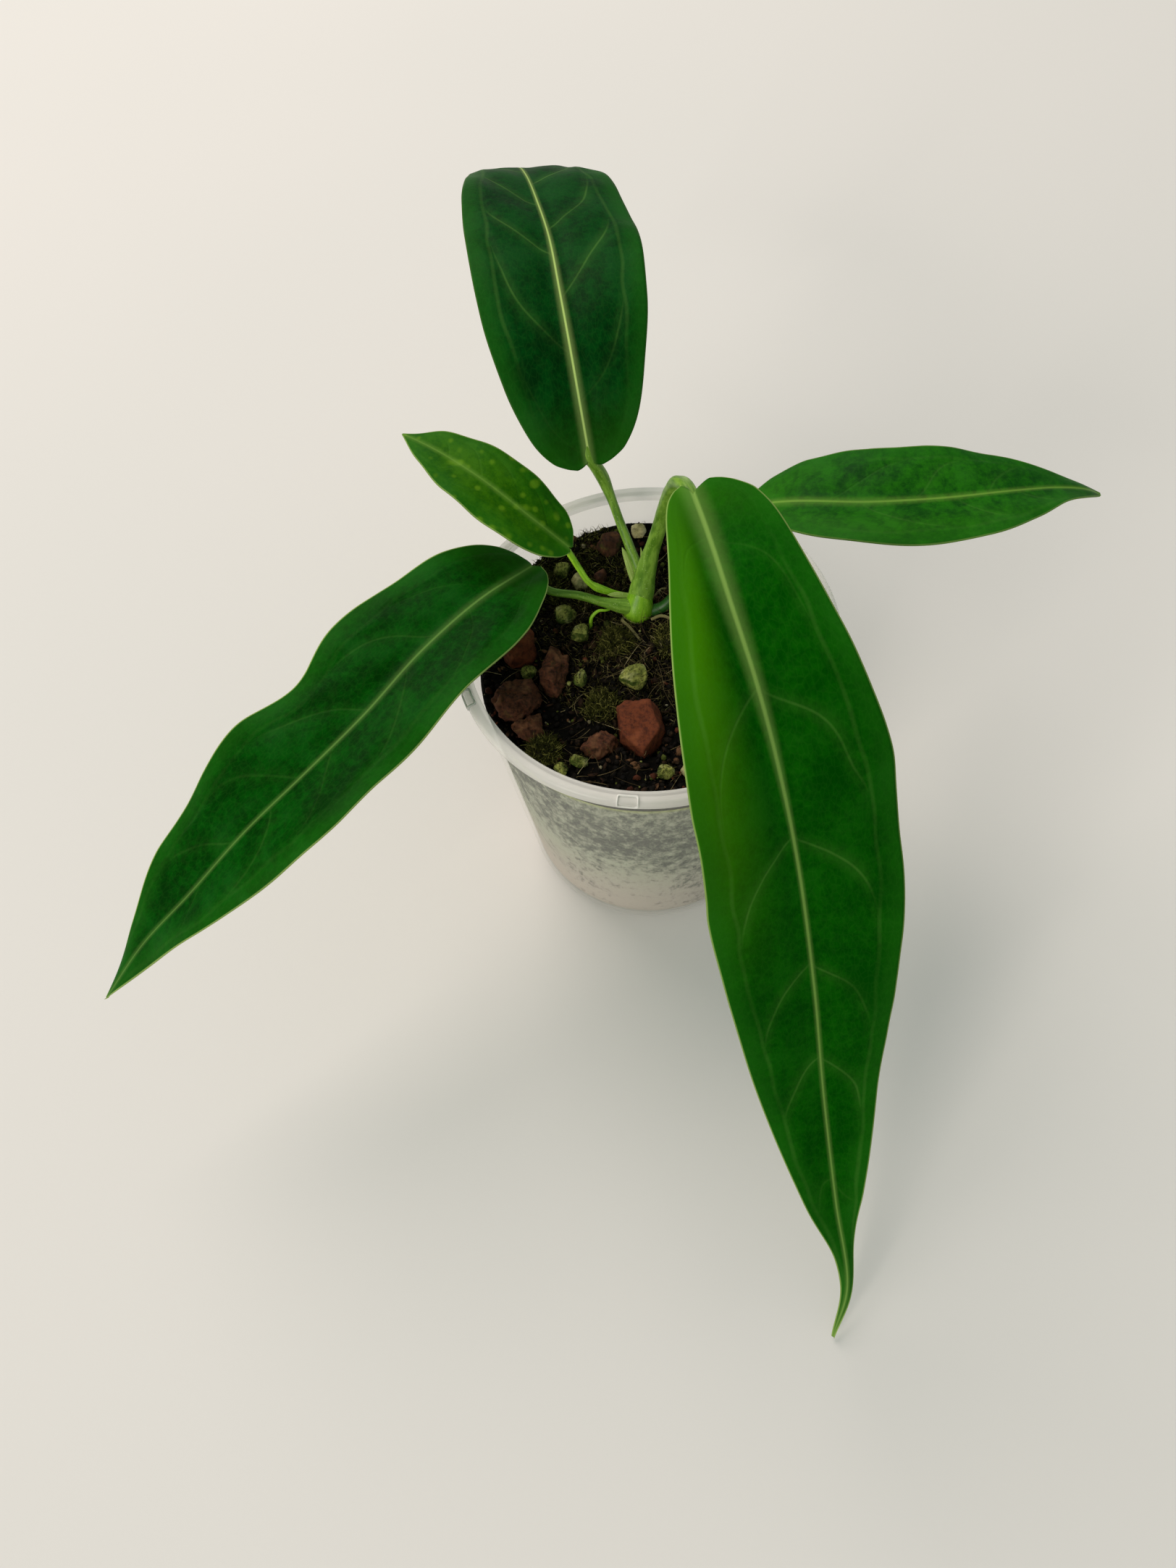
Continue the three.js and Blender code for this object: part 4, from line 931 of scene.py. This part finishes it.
def rough_ground(x, y):
    """Lumps and crumbs of the surface, in millimetres."""
    place = Vector((x, y, 3.3))
    return 0.9 * noise.noise(place / 7) + 0.6 * noise.noise(place / 2.6) + 0.3 * noise.noise(place / 1.1)


rings = []
for j in range(SIDE_ROWS + 1):
    z = MIX_FOOT + (MIX_EDGE - MIX_FOOT) * j / SIDE_ROWS
    radius = inner_radius(z) - (FOOT_ROUND * 0.6 if j == 0 else 0)
    rings.append(np.stack([radius * np.cos(angles), radius * np.sin(angles), np.full(MIX_SIDES, z)], 1))
edge_radius = inner_radius(MIX_EDGE)
for j in range(TOP_RINGS):
    radius = edge_radius * (1 - (j + 0.35) / TOP_RINGS)
    ring = []
    for a in angles:
        x, y = radius * math.cos(a), radius * math.sin(a)
        z = mix_height(x * JUST_INSIDE, y * JUST_INSIDE) + rough_ground(x, y) * min(1, j / 3)
        ring.append((x, y, max(z, MIX_EDGE - 1.5) if j else max(z - 0.5, MIX_EDGE)))
    rings.append(np.array(ring))
points, faces = skin(rings)
heights = points[:, 2].copy()
side_count = SIDE_ROWS * MIX_SIDES
which = [0 if i < side_count else 1 for i in range(len(faces))]
which[-2 * MIX_SIDES::2] = [0] * MIX_SIDES
piece("peat_bed", points * MM, faces, [mottled, peat], ["potting_mix"], "mix", which, height=heights)
ground_tree = BVHTree.FromPolygons([Vector(p) for p in points], faces)
print("mix bed has", len(points), "points")


def ground(x, y):
    """Height of the finished mix surface, in millimetres."""
    hit = ground_tree.ray_cast(Vector((x, y, LOOK_DOWN_FROM)), Vector((0, 0, -1)))[0]
    return hit.z if hit else MIX_LEVEL


# %% [markdown]
# ## Stones, bark and moss cushions
# The stones are red lava, dark lava and pale pumice, all porous and broken, not rounded. A noise on a ball
# looks like a potato, so each stone starts as the CAD lump, is smoothed, is then cut by a few flat breaks,
# and last gets its grain and its gas bubbles. Its size is fitted to the box of the CAD lump.


# %% Porous stone finishes
def stone_finish(name, deep, middle, pale, moss=0.0, grain_mm=1.2, moss_colour="#4d6a12"):
    """Three mineral colours by grain, painted shade in the bubble pits, and a share of green film."""
    made, tree, shader, place = finish_of(name, Roughness=0.85)
    shader.inputs["Specular IOR Level"].default_value = 0.25
    grain = add(tree, "TexNoise", {"Vector": place, "Scale": 1 / (grain_mm * MM), "Detail": 5.0,
                                   "Roughness": 0.7})
    patch = add(tree, "TexNoise", {"Vector": place, "Scale": 1 / (4.5 * MM), "Detail": 3.0})
    low = add(tree, "MapRange", [grain, 0.3, 0.62, 0.0, 1.0], interpolation_type="SMOOTHSTEP")
    colour = add(tree, "Mix", {0: low, 6: linear(deep), 7: linear(middle)}, 2, data_type="RGBA")
    high = add(tree, "MapRange", [patch, 0.5, 0.75, 0.0, 0.8], interpolation_type="SMOOTHSTEP")
    colour = add(tree, "Mix", {0: high, 6: colour, 7: linear(pale)}, 2, data_type="RGBA")
    film = add(tree, "TexNoise", {"Vector": place, "Scale": 1 / (3 * MM), "Detail": 4.0})
    film = add(tree, "MapRange", [film, 0.62 - 0.3 * moss, 0.75 - 0.3 * moss, 0.0, min(1, moss * 1.4)],
               interpolation_type="SMOOTHSTEP")
    level = add(tree, "SeparateXYZ", [place.node.outputs["True Normal"]], 2)
    level = add(tree, "MapRange", [level, 0.45, 0.95, 1.0, 0.3], interpolation_type="SMOOTHSTEP")
    film = add(tree, "Math", [film, level], operation="MULTIPLY")
    colour = add(tree, "Mix", {0: film, 6: colour, 7: linear(moss_colour)}, 2, data_type="RGBA")
    # The pits are darkened towards black: painted shade in the hollows, on top of their carved depth.
    pit = add(tree, "Attribute", out="Fac", attribute_name="pit")
    shade = add(tree, "MapRange", [pit, 0.0, 1.0, 0.0, 0.75])
    add(tree, "Mix", {0: shade, 6: colour, 7: linear("#0d0905")}, 2, shader.inputs["Base Color"],
        data_type="RGBA")
    add(tree, "Bump", {"Height": grain, "Distance": 0.35 * MM, "Strength": 0.8}, to=shader.inputs["Normal"])
    return made


stone_finishes = {
    "lava": stone_finish("lava_red_broken", "#3a170a", "#643017", "#7d4427"),
    "lava_dark": stone_finish("lava_dark_wet", "#1d0d06", "#56301c", "#7d5539", 0.1, 0.9),
    "pumice": stone_finish("pumice_pale", "#6d6840", "#b0a875", "#d8cfa6", 0.3, moss_colour="#5d6430"),
    "pumice_mossy": stone_finish("pumice_green_film", "#4c561c", "#94984a", "#cbc990", 0.7,
                                 moss_colour="#35480d"),
    "bark": stone_finish("pine_bark_wet", "#1c0f08", "#442717", "#6b452a", 0.15, 1.6),
    "moss": stone_finish("moss_cushion", "#0a0a04", "#25220d", "#3d3819", 0.3, 0.8, moss_colour="#3c4216"),
}
slot_of = {
    "lava": ["front", "hidden", "right"],
    "lava_dark": ["left", "tall", "edge", "low"],
    "pumice": ["back", "pale", "gold", "east"],
    "pumice_mossy": ["mossy", "green", "slit", "mid", "low", "corner", "front", "south", "grey", "far"],
    "bark": ["dark", "orange", "right", "front"],
    "moss": ["front", "crown", "left", "right", "back"],
}


# %% Broken stones from CAD lumps
def star(levels):
    """Directions, faces and edges of a ball made of triangles."""
    made = bmesh.new()
    bmesh.ops.create_icosphere(made, subdivisions=levels, radius=1)
    made.verts.index_update()
    directions = np.array([v.co.normalized()[:] for v in made.verts])
    faces = [tuple(v.index for v in f.verts) for f in made.faces]
    edges = np.array([(e.verts[0].index, e.verts[1].index) for e in made.edges])
    made.free()
    return directions, faces, edges


stars = {levels: star(levels) for levels in (1, 4, 5)}


def stone(name, node, finish, slot, seed, breaks=6, bubbles=0.0, bubble_mm=1.8, grain=0.2, cuts=()):
    """A broken stone in the place of a CAD lump. cuts are chosen breaks, each a direction and how far out it
    lies as a share of the stone, and breaks is how many more are drawn at random."""
    tree = cad_tree(node)
    low, high = (np.array(c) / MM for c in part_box(node))
    centre, half_size = (low + high) / 2, (high - low) / 2
    directions, faces, edges = stars[5 if max(half_size) > 4 else 4]
    reach = np.empty(len(directions))
    for i, d in enumerate(directions):
        hit = tree.ray_cast(Vector(centre * MM), Vector(d))[0]
        reach[i] = np.linalg.norm(np.array(hit) / MM - centre) if hit else half_size.min()
    count = np.bincount(edges.ravel(), minlength=len(directions))
    for _ in range(14 if len(directions) > 5000 else 6):
        total = np.zeros(len(directions))
        np.add.at(total, edges[:, 0], reach[edges[:, 1]])
        np.add.at(total, edges[:, 1], reach[edges[:, 0]])
        reach = 0.5 * reach + 0.5 * total / count
    rng = random.Random(seed)
    planes = list(cuts)
    for _ in range(breaks):
        n = Vector((rng.gauss(0, 1), rng.gauss(0, 1), rng.gauss(0, 0.8))).normalized()
        planes.append((tuple(n), rng.uniform(0.56, 0.82)))
    points = directions * reach[:, None]
    for n, share in planes:
        n = np.array(n) / np.linalg.norm(n)
        height = points @ n
        limit = share * height.max()
        limit = limit + 0.12 * np.array([noise.noise(Vector(p / 2.5) + Vector(n * 9)) for p in points])
        over = np.maximum(height - limit, 0)
        points = points - np.where(height > 0, over / np.maximum(height, 1e-6), 0)[:, None] * points
    middle = (points.max(0) + points.min(0)) / 2
    points = (points - middle) * (half_size / np.ptp(points, axis=0) * 2) * 0.98
    shrink = np.empty(len(points))
    pit = np.zeros(len(points))
    for i, p in enumerate(points):
        at = Vector(p) + Vector((seed * 3.1, seed * 1.7, 0))
        rough = noise.fractal(at / 2.4, 0.9, 2.1, 4) * grain - grain * 0.4
        if bubbles:
            near = noise.voronoi(at / bubble_mm, distance_metric="DISTANCE", exponent=2.5)[0][0]
            pit[i] = max(0.0, 1 - near / 0.38) * (1 if noise.cell(at / 6) > -0.2 else 0.4)
        shrink[i] = rough - bubbles * pit[i]
    points = points + directions * shrink[:, None]
    return piece(name, (points + centre) * MM, faces, [finish], [node], slot, pit=pit)


# %% Make the stones, the bark and the moss cushions
front_breaks = [((-0.08, -0.30, 0.95), 0.45), ((-1.0, -0.05, 0.1), 0.72), ((0.9, 0.1, 0.35), 0.70),
                ((0.05, 1.0, 0.15), 0.72), ((-0.72, -0.70, 0.0), 0.62), ((0.70, -0.70, 0.1), 0.60)]
for slot_name, names in slot_of.items():
    kind = slot_name.split("_")[0]
    for index, which_one in enumerate(names):
        node = kind + "_" + which_one
        seed = index + 11 * len(slot_name)
        options = dict(breaks=7, bubbles=0.35, bubble_mm=1.5, grain=0.3)
        if slot_name == "lava_dark":
            options = dict(breaks=4, bubbles=1.0, bubble_mm=2.4, grain=0.8)
        if kind == "pumice":
            options = dict(breaks=7, bubbles=0.2, bubble_mm=0.9, grain=0.25)
        if kind == "moss":
            options = dict(breaks=0, grain=0.8)
        if node == "lava_front":
            options = dict(breaks=0, grain=0.3, cuts=front_breaks)
        ending = "_cushion" if kind == "moss" else "_stone"
        stone(node + ending, node, stone_finishes[slot_name], slot_name, seed, **options)
print("stones, bark and cushions:", sum(len(v) for v in slot_of.values()))

# %% [markdown]
# ## Crumbs, grit, fibres and moss
# The top of the mix is loose: thousands of crumbs, bits of grit and bark, pale root fibres and moss. A
# particle system would need a parent object and a frame change; simple loops that copy a small shape to
# seeded places give plain meshes. Each kind is one mesh, with each grain's tone on its points.

# %% Scatter helper
SCATTER_REACH = 44.5
RAISED = 0.15
CRUMB_SHAPES = 8
crumb_ball = stars[1]


def scattered(name, finish, slot, count, sizes, flat=(0.6, 1.0), seed=1, clumps=0.0):
    """Grains of sizes in millimetres (smallest, largest) lying on the mix. flat is the range of their height
    as a share of their size, and clumps keeps them to patches."""
    rng = random.Random(seed)
    directions, ball_faces, _ = crumb_ball
    shapes = []
    for k in range(CRUMB_SHAPES):
        rough = [1 + 0.45 * noise.noise(Vector(d) * 1.3 + Vector((k * 5.0, seed, 0))) for d in directions]
        shapes.append(directions * np.array(rough)[:, None])
    points, faces, tones = [], [], []
    placed = 0
    while placed < count:
        reach = SCATTER_REACH * math.sqrt(rng.random())
        a = rng.uniform(0, 2 * math.pi)
        x, y = reach * math.cos(a), reach * math.sin(a)
        if clumps and noise.noise(Vector((x / 6, y / 6, seed * 3.0))) < clumps - 0.5:
            continue
        size = sizes[0] + (sizes[1] - sizes[0]) * rng.random() ** 2.2
        height = ground(x, y)
        if height > MIX_LEVEL + 4:
            continue
        turn = Matrix.Rotation(rng.uniform(0, 6.28), 3, "Z") @ Matrix.Rotation(rng.gauss(0, 0.5), 3, "X")
        turn = np.array(turn @ Matrix.Rotation(rng.gauss(0, 0.5), 3, "Y"))
        scale = np.array([size / 2, size / 2 * rng.uniform(0.55, 1), size / 2 * rng.uniform(*flat)])
        grain = (shapes[rng.randrange(CRUMB_SHAPES)] * scale) @ turn.T + (x, y, height + size * RAISED)
        start = len(points) * len(directions)
        points.append(grain)
        faces += [(a + start, b + start, c + start) for a, b, c in ball_faces]
        tones.append(np.full(len(directions), rng.random()))
        placed += 1
    return piece(name, np.vstack(points) * MM, faces, [finish], (), slot, tone=np.concatenate(tones))


def crumb_finish(name, colours, roughness=0.8):
    """A finish whose colour is picked per grain from dark to light."""
    made, tree, shader, place = finish_of(name, Roughness=roughness)
    shader.inputs["Specular IOR Level"].default_value = 0.12
    tone = add(tree, "Attribute", out="Fac", attribute_name="tone")
    fine = add(tree, "TexNoise", {"Vector": place, "Scale": 1 / (0.7 * MM), "Detail": 3.0})
    both = add(tree, "Math", [tone, add(tree, "Math", [fine, 0.5], operation="SUBTRACT")], operation="ADD")
    colour = add(tree, "Mix", {0: both, 6: linear(colours[0]), 7: linear(colours[1])}, 2, data_type="RGBA")
    last = add(tree, "MapRange", [both, 0.75, 1.0, 0.0, 1.0], interpolation_type="SMOOTHSTEP")
    add(tree, "Mix", {0: last, 6: colour, 7: linear(colours[2])}, 2, shader.inputs["Base Color"],
        data_type="RGBA")
    add(tree, "Bump", {"Height": fine, "Distance": 0.25 * MM, "Strength": 0.7}, to=shader.inputs["Normal"])
    return made


# %% Scatter the crumbs and grit
black_crumbs = crumb_finish("peat_crumbs", ("#030201", "#120d07", "#2e2113"))
brown_bits = crumb_finish("bark_bits", ("#120b07", "#372416", "#5e432c"))
green_grit = crumb_finish("grit_green_film", ("#2a300e", "#5d6628", "#979a58"))
pale_grit = crumb_finish("grit_pale", ("#5c563e", "#8f876a", "#bdb598"))
red_grit = crumb_finish("lava_grit", ("#2a130b", "#532b1b", "#75432d"))
scattered("crumbs_peat", black_crumbs, "mix", 3800, (0.5, 2.2), seed=1)
scattered("crumbs_bark", brown_bits, "bark", 700, (0.6, 3.4), flat=(0.2, 0.5), seed=2)
scattered("grit_green", green_grit, "pumice_mossy", 170, (0.7, 2.6), seed=3, clumps=0.5)
scattered("grit_pale", pale_grit, "pumice", 60, (0.6, 2.0), seed=4)
scattered("grit_red", red_grit, "lava", 130, (0.7, 2.8), seed=5)


# %% Thin strands for fibres and moss
MIX_REACH = 44.8
STRAND_SIDES = 3


def strands(name, finish, slot, roots, length, radius, seed, lie=0.0, bend=0.5, segments=4):
    """Thin tapered hairs. roots are (place, direction) pairs in millimetres; lie pulls the hair down flat,
    and a hair that reaches the wall of the cup runs on along it."""
    rng = random.Random(seed)
    turns = [2 * math.pi * k / STRAND_SIDES for k in range(STRAND_SIDES)]
    points, faces, tones = [], [], []
    for place, direction in roots:
        size = rng.uniform(*length)
        at, go = np.array(place, float), np.array(direction, float)
        go /= np.linalg.norm(go)
        turn = np.array([rng.gauss(0, bend) for _ in range(3)])
        turn[2] -= lie
        start = len(points) * STRAND_SIDES
        rings = []
        for j in range(segments + 1):
            share = j / segments
            across = np.cross(go, (0.31, 0.17, 0.93))
            across /= np.linalg.norm(across) + 1e-9
            other = np.cross(go, across)
            thin = radius * (1 - 0.8 * share)
            rings.append(np.array([at + thin * (math.cos(a) * across + math.sin(a) * other) for a in turns]))
            at = at + go * size / segments
            at[:2] *= min(1, MIX_REACH / math.hypot(at[0], at[1]))
            go = go + turn / segments
            go /= np.linalg.norm(go)
        for j in range(segments):
            row, above = start + j * STRAND_SIDES, start + (j + 1) * STRAND_SIDES
            for i in range(STRAND_SIDES):
                k = (i + 1) % STRAND_SIDES
                faces.append((row + i, row + k, above + k, above + i))
        faces.append(tuple(start + i for i in range(STRAND_SIDES - 1, -1, -1)))
        faces.append(tuple(start + segments * STRAND_SIDES + i for i in range(STRAND_SIDES)))
        points += rings
        tones += [np.full(STRAND_SIDES, rng.random())] * (segments + 1)
    return piece(name, np.vstack(points) * MM, faces, [finish], (), slot, tone=np.concatenate(tones))


def on_ground(count, radius, seed, up=0.25, middle=(0.0, 0.0)):
    """Seeded places and directions on the mix, mostly level."""
    rng = random.Random(seed)
    roots = []
    while len(roots) < count:
        reach, a = radius * math.sqrt(rng.random()), rng.uniform(0, 2 * math.pi)
        x, y = middle[0] + reach * math.cos(a), middle[1] + reach * math.sin(a)
        if math.hypot(x, y) < MIX_REACH:
            way = rng.uniform(0, 2 * math.pi)
            roots.append(((x, y, ground(x, y) + 0.3), (math.cos(way), math.sin(way), rng.gauss(up, 0.25))))
    return roots


def on_piece(node, count, seed, level=-0.2):
    """Seeded places on the upper faces of a finished stone or cushion, pointing outwards."""
    rng = random.Random(seed)
    mesh = bpy.data.objects[node].data
    areas = np.array([p.area if p.normal.z > level else 0.0 for p in mesh.polygons])
    picks = rng.choices(range(len(areas)), weights=list(areas), k=count)
    roots = []
    for k in picks:
        face = mesh.polygons[k]
        out = Vector(face.normal) + Vector((rng.gauss(0, 0.5), rng.gauss(0, 0.5), rng.gauss(0.2, 0.4)))
        roots.append((tuple(face.center / MM), tuple(out)))
    return roots


# %% Lay the fibres and grow the moss
pale_fibre = crumb_finish("root_fibre_dry", ("#3c311d", "#7a6c4a", "#aca078"))
moss_blade = crumb_finish("moss_blades", ("#15140a", "#433e1a", "#86814a"), 0.7)
strands("fibres_loose", pale_fibre, "root", on_ground(260, 43, 21), (4, 13), 0.11, 22, lie=0.35,
        bend=0.9, segments=9)
strands("fibres_crown", pale_fibre, "root", on_ground(220, 17, 23, 0.4, (6, 6)), (4, 10), 0.10, 24, lie=0.4,
        bend=1.1, segments=8)
moss_roots = []
for index, which_one in enumerate(slot_of["moss"]):
    moss_roots += on_piece("moss_" + which_one + "_cushion", 800, 31 + index)
cushion_blade = crumb_finish("moss_blades_fresh", ("#1d200a", "#4d5019", "#918e4b"), 0.7)
strands("moss_hair_cushions", cushion_blade, "moss", moss_roots, (1.2, 3.4), 0.12, 41, bend=1.1)
moss_roots = []
for index, which_one in enumerate(slot_of["pumice_mossy"]):
    moss_roots += on_piece("pumice_" + which_one + "_stone", 70, 51 + index, 0.1)
strands("moss_hair_stones", moss_blade, "moss", moss_roots, (0.5, 1.3), 0.08, 61, bend=0.8, segments=3)
strands("moss_hair_back", cushion_blade, "moss", on_ground(1700, 14, 81, 0.8, (-15, 32)), (1.0, 3.0), 0.11,
        82, bend=1.1, segments=3)
strands("moss_hair_ground", moss_blade, "moss", on_ground(4200, 28, 71, 0.8, (-2, 6)), (1.0, 3.2), 0.10,
        72, bend=1.1, segments=3)
print("moss and fibres are laid")

# %% [markdown]
# ## The size
# The boxes of the CAD model and of the visual model are printed.
# The visual model may stand only a little proud of the CAD box, so both boxes go to a file to be compared.

# %% Sizes and finish
seen_low, seen_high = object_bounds()
for label, low, high in (("CAD", cad_low, cad_high), ("visual", seen_low, seen_high)):
    print(label, [round(v / MM, 1) for v in low], [round(v / MM, 1) for v in high])
